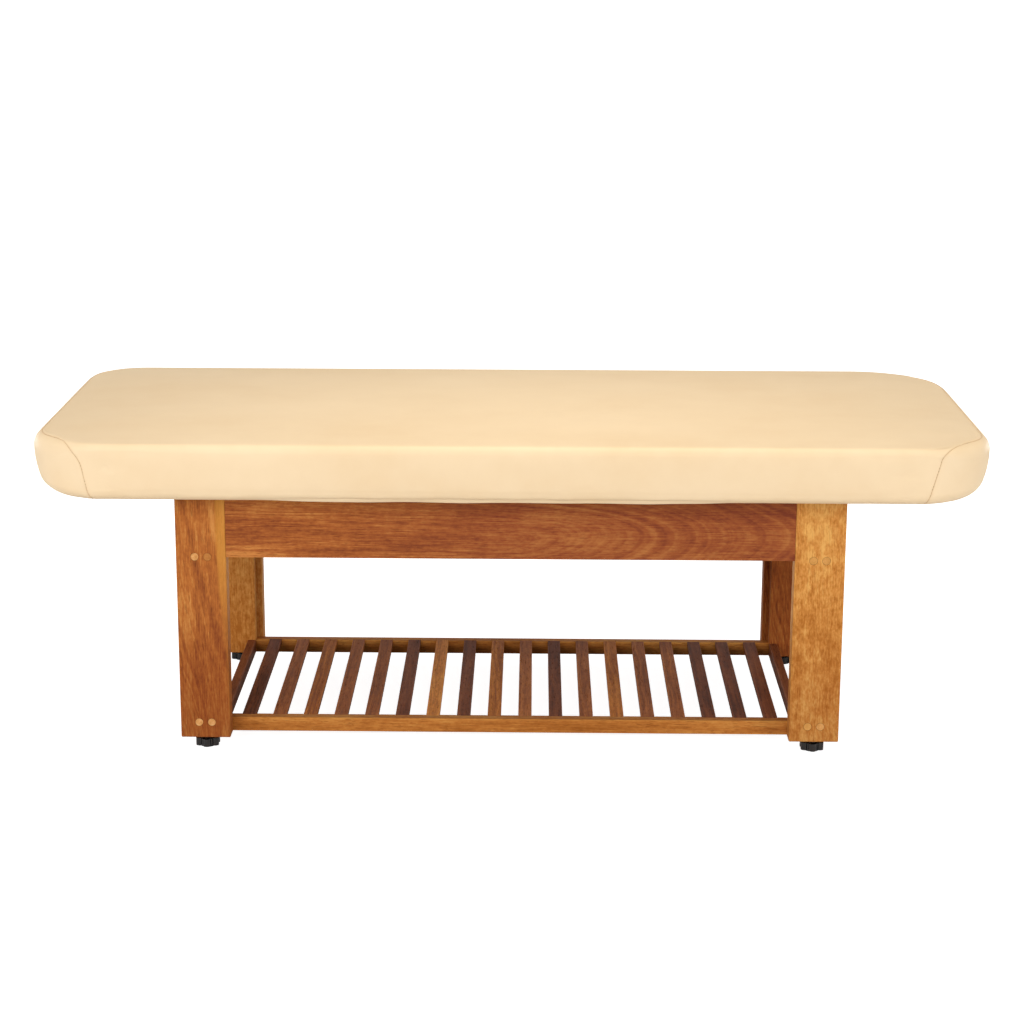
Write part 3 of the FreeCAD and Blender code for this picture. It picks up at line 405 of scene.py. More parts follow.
def plug_finish():
    """End grain plugs with fine pores. Most outer plugs are pale, and the others nearly as dark as the board.

    Inner is 1 on the side of each leg that faces the other legs, and upper is 1 at its upper plugs."""
    finish = Finish("wood_plugs")
    x, z = finish.axes("XZ")
    speck = finish.noise(900.0, 3.0)
    cloud = finish.noise(140.0)
    shade = cloud * 0.6 + speck * 0.4
    pale = finish.ramp(shade, [(0.3, "b87636"), (0.55, "d9a062"), (0.75, "e8bc86")])
    deep = finish.ramp(shade, [(0.3, "9c6029"), (0.7, "cc8744")])
    right = finish.step(x, -0.01, 0.01)
    deep = finish.blend(right * 0.55, deep, "d9a355")
    inner = 1.0 - finish.step(abs(x), 0.622, 0.630)
    upper = finish.step(z, 0.24, 0.25)
    left_share = inner * (0.35 + upper * 0.6)
    right_share = (1.0 - inner) * (0.3 + upper * 0.4) + inner * 0.85
    base = finish.blend(left_share * (1.0 - right) + right_share * right, pale, deep)
    return finish.surface(base, 0.45 + speck * 0.1, speck, 0.0003, Specular_IOR_Level=0.12)


def plywood_finish():
    """Birch plywood: pale faces, and veneers of two tones at the edge, as bands of height."""
    finish = Finish("plywood")
    z = finish.axes("Z")[0]
    grain = finish.noise((6.0, 260.0, 260.0), 3.0)
    veneer = finish.step((z * (2 * math.pi / 0.0024)).sine(), -0.2, 0.2)
    base = finish.ramp(grain * 0.7 + veneer * 0.3, [(0.3, "a97c4a"), (0.7, "dcb98a")])
    return finish.surface(base, 0.6 + grain * 0.15, grain, 0.0003)


# Metal, plastic, rubber, cloth, foam
def steel_finish():
    """Zinc plated steel: a grey with fine turning marks round its axis and a cloudy sheen."""
    finish = Finish("zinc_steel")
    cloud = finish.noise(160.0, 3.0)
    marks = finish.noise((60.0, 60.0, 2600.0), 1.0)
    base = finish.ramp(cloud, [(0.3, "8f9195"), (0.7, "c3c5c8")])
    return finish.surface(base, 0.26 + cloud * 0.2, marks, 0.0002, Metallic=1.0)


def plastic_finish():
    """Moulded black plastic: gloss with a faint orange peel and patches of dust."""
    finish = Finish("black_plastic")
    peel = finish.noise(700.0)
    dust = finish.step(finish.noise(90.0, 4.0), 0.52, 0.75)
    base = finish.blend(dust * 0.2, "0a0a0b", "302e2c")
    return finish.surface(base, 0.13 + dust * 0.25, peel, 0.00012, Coat_Weight=0.7, Coat_Roughness=0.05)


def rubber_finish():
    """Dull black rubber with a fine grain and scuffs."""
    finish = Finish("foot_rubber")
    grain = finish.noise(1500.0)
    scuff = finish.step(finish.noise((150.0, 150.0, 500.0), 3.0), 0.55, 0.7)
    base = finish.blend(scuff * 0.5, "1b1b1b", "4a4845")
    return finish.surface(base, 0.75 + scuff * 0.1, grain, 0.0002)


def vinyl_finish():
    """Cream upholstery vinyl: a fine pebble grain, faint clouds, and a dark needle line along the seams.

    The map called seam gives the distance from the nearest seam and the way along it."""
    finish = Finish("cream_vinyl")
    seam = finish.node("ShaderNodeUVMap", {"uv_map": "seam"}, {})
    off, along = finish.axes("XY", seam)
    pebble = finish.node("ShaderNodeTexVoronoi", {}, {"Vector": finish.place, "Scale": 720.0}, "Distance")
    creases = finish.noise(260.0, 3.0, 0.6)
    cloud = finish.noise((3.0, 5.0, 5.0), 3.0)
    smudge = finish.noise(23.0, 3.0)
    holes = finish.step((along * (2 * math.pi / STITCH_PITCH)).sine(), 0.0, 0.8)
    x = finish.axes("X")[0]
    corner = 1.0 - finish.step(abs(x), SEAM_CORNER, SEAM_CORNER + SEAM_FADE) * 0.92
    line = 1.0 - finish.step(abs(off), 0.0003, 0.0012)
    worn = finish.step(finish.line_noise(along, 55.0), 0.42, 0.60)
    shade = 1.0 - finish.step(abs(off), 0.001, 0.012)
    tone = cloud * 0.7 + smudge * 0.3
    base = finish.ramp(tone, [(0.3, "e9cda5"), (0.5, "ecd2ac"), (0.7, "efd6b1")])
    base = finish.blend(shade * 0.04, base, "c99a63")
    base = finish.blend(line * corner * holes * (0.08 + worn * 0.87), base, "54402c")
    roughness = 0.40 + smudge * 0.10 + line * 0.2
    height = pebble * 0.5 + creases * 0.5
    sheen = {"Specular_IOR_Level": 0.17, "Coat_Weight": 0.02, "Coat_Roughness": 0.3}
    return finish.surface(base, roughness, height, 0.0002, **sheen)


def thread_finish():
    """Spun thread: thin turns of light and dark along its own length."""
    finish = Finish("seam_thread")
    x, y, z = finish.axes("XYZ")
    turns = ((x + y + z) * 9000.0).sine() * 0.5 + 0.5
    base = finish.blend(turns, "c29a6c", "e2c296")
    return finish.surface(base, 0.7 + turns * 0.1, turns, 0.0001)


def dust_cloth_finish():
    """Black spun cloth: crossing weave lines with lint."""
    finish = Finish("dust_cloth")
    x, y = finish.axes("XY")
    weave = (x * 4200.0).sine() * (y * 4200.0).sine()
    lint = finish.step(finish.noise(320.0, 4.0), 0.55, 0.75)
    base = finish.blend(lint * 0.4, "161616", "3b3a38")
    return finish.surface(base, 0.85 + lint * 0.05, weave, 0.0003)


def foam_finish(name, deep, pale):
    """Open cell foam: cells as a voronoi pattern with darker pits."""
    finish = Finish(name)
    cells = finish.node("ShaderNodeTexVoronoi", {}, {"Vector": finish.place, "Scale": 650.0}, "Distance")
    cloud = finish.noise(30.0)
    base = finish.ramp(cells * 0.6 + cloud * 0.4, [(0.2, deep), (0.6, pale)])
    return finish.surface(base, 0.9 + cloud * 0.05, cells, 0.0006)


# Cushion surfaces
def summed(steps):
    """The way at each point of a line, from the steps between them."""
    return np.concatenate(([0.0], np.cumsum(steps)))


def bell(value, middle, width):
    return np.exp(-((value - middle) / width) ** 2)


def plan_knots():
    """Knots of the cushion's plan, walked anticlockwise from the middle of the front.

    A point of the plan is a base plus a radius along the normal. Base, radius and angle all
    change evenly from knot to knot, which gives straight edges and round corners."""
    radii = [FRONT_RADIUS, BACK_RIGHT_RADIUS, BACK_LEFT_RADIUS, FRONT_RADIUS]
    knots = [(0.0, FRONT_RADIUS - HALF_DEPTH, FRONT_RADIUS, -math.pi / 2)]
    for number, radius in enumerate(radii):
        x = (HALF_LENGTH - radius) * (1, 1, -1, -1)[number]
        y = (HALF_DEPTH - radius) * (-1, 1, 1, -1)[number]
        knots += [(x, y, radius, turn * math.pi / 2) for turn in (number - 1, number)]
    knots.append((0.0, FRONT_RADIUS - HALF_DEPTH, FRONT_RADIUS, 3 * math.pi / 2))
    knots = np.array(knots)
    x = knots[:, 0] + knots[:, 2] * np.cos(knots[:, 3])
    y = knots[:, 1] + knots[:, 2] * np.sin(knots[:, 3])
    turned = np.diff(knots[:, 3])
    steps = np.where(turned > 0, knots[1:, 2] * turned, np.hypot(np.diff(x), np.diff(y)))
    return summed(steps), knots


WAY, KNOTS = plan_knots()
ROUND = WAY[-1]
RIGHT_MIDDLE = WAY[2] + HALF_DEPTH - FRONT_RADIUS
BACK_MIDDLE = WAY[4] + HALF_LENGTH - BACK_RIGHT_RADIUS
LEFT_MIDDLE = WAY[6] + HALF_DEPTH - BACK_LEFT_RADIUS


def plan(places):
    """Point and outward normal at each place along the plan, as x, y, normal x, normal y."""
    wrapped = np.mod(places, ROUND)
    base_x, base_y, radius, angle = [np.interp(wrapped, WAY, KNOTS[:, k]) for k in range(4)]
    nx, ny = np.cos(angle), np.sin(angle)
    return base_x + radius * nx, base_y + radius * ny, nx, ny


def round_gap(places, middle):
    """How far places lie from a middle, the short way round the plan: from minus to plus half a round."""
    return np.mod(places - middle + ROUND / 2, ROUND) - ROUND / 2


def smooth_step(value):
    """0 up to 0, 1 from 1 on, and 3t^2 - 2t^3 between."""
    t = np.clip(value, 0.0, 1.0)
    return t * t * (3 - 2 * t)


def column_places(first, last, count, closeness=3.2):
    """Places from first to last, closer together towards the ends: even steps of a summed density."""
    fine = np.linspace(first, last, 6000)
    density = 1 + (closeness - 1) * smooth_step((np.abs(plan(fine)[0]) - 0.60) / 0.14)
    total = summed((density[1:] + density[:-1]) / 2)
    return np.interp(np.linspace(0, total[-1], count + 1)[:-1], total, fine)


def seam_way(side, face, distance):
    """Where along the plan a corner seam lies, for its distances from the middle of the bed."""
    middle = 0.0 if face < 0 else BACK_MIDDLE
    step = side * -face
    walk = np.linspace(0, HALF_LENGTH + 0.1, 4000)
    reached = np.abs(plan(middle + step * walk)[0])
    rising = np.maximum.accumulate(reached) + np.arange(len(walk)) * 1e-9
    return middle + step * np.interp(distance, rising, walk)


def seam_distance(side, below):
    """Distance of a seam from the middle, at a way below its top: a slant, then a quarter ellipse."""
    turned = np.clip(1 - below / SEAM_TURNS[side], 0, 1)
    swept = 1 - np.sqrt(1 - turned ** 2)
    slanted = SEAM_FEET[side] + SEAM_SLANTS[side] * (1 - np.clip(below / CUSHION_SIDE, 0, 1))
    return slanted + (SEAM_REACH - SEAM_FEET[side] - SEAM_SLANTS[side]) * swept


SEAMS = [(side, face) for face in (-1, 1) for side in (-1, 1)]


def column_set(count):
    """Columns round the plan: half by way of the front and half by way of the back.

    The column nearest to the top of each corner seam is moved onto it. Returns the places and,
    for each seam, its column."""
    half = count // 2
    front = column_places(LEFT_MIDDLE - ROUND, RIGHT_MIDDLE, half)
    back = column_places(RIGHT_MIDDLE, LEFT_MIDDLE, half)
    places = np.concatenate((front, back))
    columns = {}
    for side, face in SEAMS:
        top = seam_way(side, face, seam_distance(side, np.zeros(1)))[0]
        column = int(np.argmin(np.abs(round_gap(places, top))))
        places[column] += round_gap(top, places[column])
        columns[side, face] = column
    return places, columns


def spine_places(places):
    """For each column, where it ends on the cushion's middle line, alike for front and back."""
    x = plan(places)[0]
    mirror = np.mod(-np.arange(len(places)), len(places))
    return np.clip((x + x[mirror]) / 2, -SPINE_REACH, SPINE_REACH)


def inner_rows(count):
    """Like rows of places for a piece inside the cover, and where its columns end on the middle line."""
    places = column_set(INNER_COLUMNS)[0]
    return np.repeat(places[None, :], count, axis=0), spine_places(places)


def warped_places(places, below):
    """Rows of places in which each seam's column follows the seam: a raised cosine carries its shift.

    Below is how far each row lies under the top of the seams, along the side."""
    rows = np.repeat(places[None, :], len(below), axis=0)
    for side, face in SEAMS:
        way = seam_way(side, face, seam_distance(side, below))
        top = seam_way(side, face, seam_distance(side, np.zeros(1)))[0]
        weight = 0.5 + 0.5 * np.cos(np.pi * np.clip(round_gap(places, top) / SEAM_WARP, -1, 1))
        rows += (way - top)[:, None] * weight[None, :]
    return rows


def arc_inset(rise, radius):
    """How far a quarter circle is drawn in at a rise above its start: r - root(r^2 - rise^2)."""
    return radius - np.sqrt(np.clip(radius ** 2 - np.clip(rise, 0, radius) ** 2, 0, None))


def skin_insets(heights, nx, ny, skin=0.0):
    """How far a skin is drawn in at each height, at its sides and at its ends.

    Both have the roll below and a shoulder above, larger at the ends and largest at the two front
    corners, by the cube of the sine of twice the turn. The ends are undercut as well, by the square
    of how far they lie below their widest height."""
    heights = heights[:, None]
    turned = np.abs(2 * nx * ny) ** 3 * (ny < 0)
    roll = skin + arc_inset(BOTTOM + ROLL - heights, ROLL - skin)
    side = SHOULDER + (CORNER_SHOULDER - SHOULDER) * turned
    end = END_SHOULDER + (CORNER_SHOULDER - END_SHOULDER) * turned
    undercut = UNDERCUT * (np.clip(BOTTOM + WIDEST - heights, 0, None) / WIDEST) ** 2
    side_inset = roll + arc_inset(heights - SHOULDER_TOP + side, side - skin)
    end_inset = roll + arc_inset(heights - SHOULDER_TOP + end, end - skin) + undercut
    return side_inset, end_inset


def skin_points(rows, walls, heights, shares, spine, skin=0.0, tucks=0.0):
    """Points of a skin: the plan drawn in by its insets and tucks, then a share of the way to the spine.

    Walls are the heights that the insets are taken at, and tucks are what the hem adds to them."""
    x, y, nx, ny = plan(rows)
    side_inset, end_inset = skin_insets(walls, nx, ny, skin)
    x = x - nx * (end_inset + tucks)
    y = y - ny * (side_inset + tucks)
    share = shares[:, None]
    flat = np.stack((x + (spine[None, :] - x) * share, y * (1 - share)), axis=-1)
    return np.concatenate((flat, np.broadcast_to(heights[:, None, None], x.shape + (1,))), axis=-1)


def grid_numbers(shape, closed_first=None, closed_last=None):
    """Vertex numbers of a grid. In a closed row back columns share the front's, and fans share one."""
    count = shape[1]
    numbers = np.arange(shape[0] * count).reshape(shape)
    half = count // 2
    fold = np.minimum(np.arange(count), np.mod(-np.arange(count), count))
    for row, closed in ((0, closed_first), (-1, closed_last)):
        if closed is not None:
            kept = fold.copy()
            kept[closed[fold] <= -SPINE_REACH] = 0
            kept[closed[fold] >= SPINE_REACH] = half
            numbers[row] = numbers[row][kept]
    return numbers


def grid_faces(shape, closed_first=None, closed_last=None):
    """Quads of a grid that closes round its columns, with the first row lowest, as four numbers each."""
    numbers = grid_numbers(shape, closed_first, closed_last)
    low, high = numbers[:-1], numbers[1:]
    return np.stack((low, np.roll(low, -1, 1), np.roll(high, -1, 1), high), axis=-1)


def put_object(name, data):
    """An object of the scene that shows the data."""
    made = bpy.data.objects.new(name, data)
    bpy.context.scene.collection.objects.link(made)
    return made


def put_mesh(name, points, quads, material, maps=None):
    """An object of points and quads. Quads with two like corners next to each other become triangles."""
    quads = quads.reshape(-1, 4)
    distinct = np.array([quads[:, k] != quads[:, (k + 1) % 4] for k in range(4)])
    full = quads[distinct.all(0)]
    three = quads[distinct.sum(0) == 3]
    gap = np.argmin(distinct.T[distinct.sum(0) == 3], axis=1)
    keep = np.array([[k for k in range(4) if k != g] for g in range(4)])
    triangles = np.take_along_axis(three, keep[gap], axis=1) if len(three) else three[:, :3]
    used, inverse = np.unique(np.concatenate((full.ravel(), triangles.ravel())), return_inverse=True)
    faces = inverse[:full.size].reshape(-1, 4).tolist() + inverse[full.size:].reshape(-1, 3).tolist()
    mesh = bpy.data.meshes.new(name)
    mesh.from_pydata(points.reshape(-1, 3)[used].tolist(), [], faces)
    for title, values in (maps or {}).items():
        layer = mesh.uv_layers.new(name=title)
        loops = np.zeros(len(mesh.loops), np.int32)
        mesh.loops.foreach_get("vertex_index", loops)
        layer.data.foreach_set("uv", values.reshape(-1, 2)[used][loops].astype(np.float32).ravel())
    mesh.shade_smooth()
    if material:
        mesh.materials.append(material)
    return put_object(name, mesh)


def thicken(piece, thickness, offset=-1.0):
    """Give an open skin its thickness, inwards or about its middle, with a crisp edge round its rim."""
    mesh = piece.data
    used = np.zeros(len(mesh.loops), np.int32)
    mesh.loops.foreach_get("edge_index", used)
    mesh.edges.foreach_set("use_edge_sharp", np.bincount(used, minlength=len(mesh.edges)) == 1)
    solid = piece.modifiers.new("thickness", "SOLIDIFY")
    solid.thickness = thickness
    solid.offset = offset


def cover_profile():
    """Tuck, height and spine share of each row, from the hem round the roll and side to the crown.

    Also the row of the seams, a little below the ridge, and how far each row lies below it along
    the side. The count of rows is odd, so that every second row is a grid of its own."""
    tucks = np.linspace(HEM - ROLL, 0, 7)[:-1]
    turn = np.linspace(0, math.pi / 2, 19)[:-1]
    shoulder = np.linspace(0, math.pi / 2, 12)
    heights = np.concatenate((
        np.full(len(tucks), BOTTOM),
        BOTTOM + ROLL * (1 - np.cos(turn)),
        np.linspace(BOTTOM + ROLL, SHOULDER_TOP - SHOULDER, 22)[:-1],
        SHOULDER_TOP - SHOULDER * (1 - np.sin(shoulder)),
    ))
    reach = np.linspace(0, 1, 37)[1:] ** 1.5
    levels = np.concatenate((heights, SHOULDER_TOP + CROWN * (1 - (1 - reach) ** 2)))
    shares = np.concatenate((np.zeros(len(heights)), reach))
    tucks = np.concatenate((tucks, np.zeros(len(levels) - len(tucks))))
    side = skin_insets(levels, np.zeros(1), np.ones(1))[0][:, 0] + tucks + shares * HALF_DEPTH
    way = summed(np.hypot(np.diff(side), np.diff(levels)))
    seam_row = len(heights) - SEAM_ROWS_DOWN
    return tucks, levels, shares, seam_row, way[seam_row] - way


def surface_normals(points):
    """Unit normals of a grid that closes round its columns: the cross product of its two slopes."""
    around = np.roll(points, -1, 1) - np.roll(points, 1, 1)
    up = np.gradient(points, axis=0)
    normal = np.cross(around, up)
    return normal / np.maximum(np.linalg.norm(normal, axis=-1, keepdims=True), 1e-12)


def wavy(along, lengths, seed):
    """A sum of sines along a way, one for each wave length, with phases from a seeded generator."""
    rng = np.random.default_rng(seed)
    total = np.zeros_like(along)
    for length in lengths:
        total += np.sin(2 * math.pi * along / length + rng.uniform(0, 2 * math.pi)) * rng.uniform(0.6, 1.0)
    return total / len(lengths)


def between(coarse):
    """Fill in every second row and column of a grid that closes round, each as the mean of its neighbours."""
    rows = np.repeat(coarse, 2, axis=0)[:-1]
    rows[1::2] = (coarse[:-1] + coarse[1:]) / 2
    full = np.repeat(rows, 2, axis=1)
    full[:, 1::2] = (rows + np.roll(rows, -1, axis=1)) / 2
    return full


def blown_up(points, quads, firmness, gather):
    """Points of a skin after it is blown up as cloth.

    Firmness holds each point to its place, and gather is how much the cloth shrinks there."""
    made = put_mesh("cloth_form", points, quads, None)
    kept = np.unique(quads)
    for title, weights in (("hold", firmness), ("gather", gather)):
        group = made.vertex_groups.new(name=title)
        for level in np.unique(weights.ravel()[kept]):
            group.add(np.nonzero(weights.ravel()[kept] == level)[0].tolist(), float(level), "REPLACE")
    cloth = made.modifiers.new("cloth", "CLOTH")
    for name, value in CLOTH_SETTINGS.items():
        setattr(cloth.settings, name, value)
    cloth.settings.effector_weights.gravity = 0
    cloth.point_cache.frame_start = 1
    cloth.point_cache.frame_end = CLOTH_FRAMES
    scene = bpy.context.scene
    for number in range(1, CLOTH_FRAMES + 1):
        scene.frame_set(number)
    shown = made.evaluated_get(bpy.context.evaluated_depsgraph_get()).data
    moved = np.zeros(len(shown.vertices) * 3, np.float32)
    shown.vertices.foreach_get("co", moved)
    result = points.reshape(-1, 3).copy()
    result[kept] = moved.reshape(-1, 3)
    bpy.data.objects.remove(made)
    scene.frame_set(1)
    return result.reshape(points.shape)


class Cushion:
    """The cover as one grid of points with its seams, later cut into panels."""

    def __init__(self):
        tucks, self.heights, self.shares, self.seam_row, below = cover_profile()
        places, self.columns = column_set(COVER_COLUMNS)
        self.spine = spine_places(places)
        self.rows = warped_places(places, below)
        walls = np.minimum(self.heights, SHOULDER_TOP)
        tucks = tucks[:, None]
        self.points = skin_points(self.rows, walls, self.heights, self.shares, self.spine, tucks=tucks)
        self.measure_seams()

    def block(self, side):
        """Columns of one end panel, from its first seam to its second."""
        count = self.points.shape[1]
        first, last = self.columns[side, -side], self.columns[side, side]
        return np.arange(first, last + (count if last < first else 0) + 1) % count

    def seam_line(self, side):
        """Grid numbers of a seam: up its first column, along the top row and down its last column."""
        block = self.block(side)
        up = np.arange(self.seam_row)
        rows = np.concatenate((up, np.full(len(block), self.seam_row), up[::-1]))
        columns = np.concatenate((np.full(len(up), block[0]), block, np.full(len(up), block[-1])))
        return rows, columns

    def measure_seams(self):
        """Distance from the nearest seam and the way along it, at each point.

        Each end panel is a rectangle in the way round and the way up, open at its foot. The distance
        is to that rectangle's edge, from the outside and from the inside."""
        climb = np.linalg.norm(np.diff(self.points[:, self.points.shape[1] // 4], axis=0), axis=1)
        up = summed(climb)[:, None]
        above = up - up[self.seam_row]
        self.off = np.full(self.rows.shape, 1.0)
        self.along = np.zeros(self.rows.shape)
        for side, centre in ((-1, LEFT_MIDDLE), (1, RIGHT_MIDDLE)):
            block = self.block(side)
            around = round_gap(self.rows, centre)
            first, last = around[:, block[0], None], around[:, block[-1], None]
            beside = np.maximum(first - around, around - last)
            inside = np.minimum(-beside, -above)
            outside = np.hypot(np.clip(beside, 0, None), np.clip(above, 0, None))
            off = np.where(inside > 0, inside, outside)
            near = off < self.off
            along = np.where(beside > above, up * np.ones_like(around), around + 2.0)
            self.off = np.where(near, off, self.off)
            self.along = np.where(near, along, self.along)

    def settle(self, most=0.005, least=0.0006):
        """Blow up every second row and column as cloth, and carry the moves over to the whole grid.

        The hem is held, the top and its ridge lie firmly on the foam, and the seams gather a little.
        Each move is divided by 1 plus its share of the most, so none passes it, and no point sinks
        into the foam by more than the least."""
        coarse = self.points[::2, ::2]
        spine = self.spine[::2]
        shape = coarse.shape[:2]
        numbers = grid_numbers(shape, closed_last=spine)
        quads = grid_faces(shape, closed_last=spine)
        heights = self.heights[::2]
        firm = 0.15 + 0.45 * smooth_step((heights - SHOULDER_TOP + 0.030) / 0.030)
        firm = np.where(self.shares[::2] > 0, 0.6 + 0.38 * smooth_step(self.shares[::2] / 0.12), firm)
        firm = np.where(heights < BOTTOM + 0.003, 1.0, firm)
        firmness = np.repeat(np.round(firm, 2)[:, None], shape[1], axis=1)
        gather = np.round(bell(self.off[::2, ::2], 0, 0.012), 1)
        moved = blown_up(coarse, quads, firmness, gather).reshape(-1, 3)[numbers]
        move = between(moved - coarse.reshape(-1, 3)[numbers])
        move = move / (1 + np.linalg.norm(move, axis=-1, keepdims=True) / most)
        normals = surface_normals(self.points)
        rise = (move * normals).sum(axis=-1, keepdims=True)
        self.points = self.points + move + normals * np.clip(-least - rise, 0, None)

    def soften(self):
        """Seam groove, puckers, soft dents and a wavy lower edge, as offsets along the normals."""
        normals = surface_normals(self.points)
        off, along = self.off, self.along
        x, z = self.points[..., 0], self.points[..., 2]
        front = self.points[..., 1] < 0
        flat = 1 - 0.85 * smooth_step((np.abs(x) - SEAM_CORNER) / SEAM_FADE)
        lift = -0.0004 * flat * bell(off, 0, 0.0022)
        lift += 0.0004 * flat * bell(off, 0.009, 0.006)
        pucker = wavy(along, (0.0155, 0.0195, 0.031), 7)
        lift += 0.0008 * pucker * np.exp(-off / 0.010) * (1 - bell(off, 0, 0.004))
        lower = bell(self.heights - BOTTOM, 0.008, 0.006)[:, None]
        lift += 0.0010 * wavy(self.rows, (0.31, 0.17, 0.093), 11) * lower
        dent = (x + 0.806) ** 2 + (z - BOTTOM - 0.072) ** 2
        lift += -0.0011 * np.exp(-dent / 0.00018) * front
        self.points = self.points + normals * lift[..., None]
        self.fold()

    def fold(self):
        """The lip where the cover is pulled under: a crease and then a ridge along the roll.

        Both are bell curves of the height above the bottom, on a line that waves, and both
        fade out towards the legs."""
        x = self.points[..., 0]
        level = self.heights[:, None] - BOTTOM - 0.0006 * wavy(self.rows, (0.23, 0.13, 0.41), 3)
        rolled = (self.shares == 0)[:, None] & (self.heights < BOTTOM + ROLL)[:, None]
        share = smooth_step((0.47 - np.abs(x + 0.02)) / 0.10) * rolled
        share = share * (0.75 + 0.25 * wavy(self.rows, (0.19, 0.29), 5))
        self.points[..., 2] -= share * 0.0042 * bell(level, 0.0012, 0.0014)
        self.points[..., 2] += share * 0.0016 * bell(level, 0.0052, 0.0018)

    def panels(self, material):
        """The main panel and the two end panels, cut along the seams, each with its thickness."""
        quads = grid_faces(self.rows.shape, closed_last=self.spine)
        maps = {"seam": np.stack((self.off, self.along), axis=-1)}
        taken = np.zeros(quads.shape[:2], bool)
        made = {}
        for side, name in ((-1, "left_end_panel"), (1, "right_end_panel")):
            mask = np.zeros(quads.shape[:2], bool)
            mask[:self.seam_row, self.block(side)[:-1]] = True
            taken |= mask
            made[name] = put_mesh(name, self.points, quads[mask], material, maps)
        made["main_panel"] = put_mesh("main_panel", self.points, quads[~taken], material, maps)
        for piece in made.values():
            thicken(piece, SKIN)
            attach(piece, "bed")
        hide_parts("left_end_cover")
        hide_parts("right_end_cover")
        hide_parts("main_cover")


def resampled(line, pitch):
    """Points at an even pitch along a line, with all that it carries."""
    way = summed(np.linalg.norm(np.diff(line, axis=0), axis=1))
    steps = np.arange(pitch / 2, way[-1], pitch)
    return np.stack([np.interp(steps, way, line[:, k]) for k in range(line.shape[1])], axis=-1)


def seam_stitches(cushion, side, name, material):
    """Stitches along a seam: each a short bar with six sides, thinner at its ends, carried along the seam."""
    rows, columns = cushion.seam_line(side)
    line = cushion.points[rows, columns]
    normals = surface_normals(cushion.points)[rows, columns]
    both = resampled(np.concatenate((line, normals), axis=1), STITCH_PITCH)
    points, outward = both[:, :3], both[:, 3:]
    outward /= np.linalg.norm(outward, axis=1, keepdims=True)
    forward = np.gradient(points, axis=0)
    forward /= np.linalg.norm(forward, axis=1, keepdims=True)
    across = np.cross(forward, outward)
    turns = np.arange(6) * math.pi / 3
    places = np.array([-0.5, -0.36, 0.0, 0.36, 0.5]) * STITCH_LENGTH
    radii = np.array([0.15, 0.8, 1.0, 0.8, 0.15]) * STITCH_RADIUS
    middle = (points + outward * STITCH_LIFT)[:, None, None]
    round_bar = across[:, None] * np.cos(turns)[:, None] + outward[:, None] * np.sin(turns)[:, None]
    ring = (
        middle + forward[:, None, None] * places[:, None, None] + round_bar[:, None] * radii[:, None, None]
    )
    count = len(points)
    numbers = np.arange(count * 30).reshape(count, 5, 6)
    low, high = numbers[:, :-1], numbers[:, 1:]
    quads = np.stack((low, high, np.roll(high, -1, 2), np.roll(low, -1, 2)), axis=-1).reshape(-1, 4)
    caps = []
    for end, order in ((0, (0, 1, 2, 3)), (0, (0, 3, 4, 5)), (4, (3, 2, 1, 0)), (4, (5, 4, 3, 0))):
        caps.append(numbers[:, end][:, list(order)])
    made = put_mesh(name, ring, np.concatenate((quads, *caps)), material)
    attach(made, "bed")


def foam_block(name, levels, crown, material, node):
    """A foam layer: the form of the cover at each level, drawn in by a gap and closed below and above."""
    inwards = np.linspace(0, 1, 9)[1:]
    flat = np.zeros(len(inwards))
    heights = np.concatenate((flat + levels[0], levels, levels[-1] + crown * (1 - (1 - inwards) ** 2)))
    walls = np.concatenate((flat + levels[0], levels, flat + levels[-1]))
    shares = np.concatenate((inwards[::-1], np.zeros(len(levels)), inwards))
    rows, spine = inner_rows(len(heights))
    points = skin_points(rows, walls, heights, shares, spine, SKIN + FOAM_GAP)
    made = put_mesh(name, points, grid_faces(rows.shape, spine, spine), material)
    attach(made, "bed")
    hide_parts(node)


def make_foams():
    """Firm foam on the deck and soft foam over it, inside the cover."""
    split = DECK_TOP + FIRM_FOAM
    firm_levels = np.linspace(DECK_TOP + 0.0003, split, 8)
    firm = foam_finish("firm_foam", "a99a62", "d8cb98")
    foam_block("firm_foam_layer", firm_levels, 0.0, firm, "firm_foam")
    turns = np.linspace(0, math.pi / 2, 7)
    top = SHOULDER_TOP - SKIN - FOAM_GAP
    round_levels = top - (END_SHOULDER - SKIN - FOAM_GAP) * (1 - np.sin(turns))
    soft_levels = np.concatenate((np.linspace(split + 0.0003, round_levels[0], 4)[:-1], round_levels))
    soft = foam_finish("soft_foam", "c9c0a4", "efe9d6")
    foam_block("soft_foam_layer", soft_levels, CROWN, soft, "soft_foam")


def dust_sheet():
    """The cloth below the deck: the plan drawn in past the hem, sagging between its staples."""
    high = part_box("dust_cover")[1]
    inset = HALF_DEPTH - high.y
    shares = 1 - np.linspace(0, 1, 26)
    rows, spine = inner_rows(len(shares))
    level = np.full(len(shares), BOTTOM)
    points = skin_points(rows, level, level, shares, spine, tucks=inset - ROLL)
    scallop = 0.0004 * wavy(rows, (0.06, 0.11), 19) * (1 - shares)[:, None] ** 4
    points[..., 2] += 0.0004 + scallop
    quads = grid_faces(rows.shape, closed_first=spine)[:, :, ::-1]
    made = put_mesh("dust_cloth_sheet", points, quads, dust_cloth_finish())
    thicken(made, CLOTH_SKIN, 0.0)
    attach(made, "bed")
    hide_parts("dust_cover")


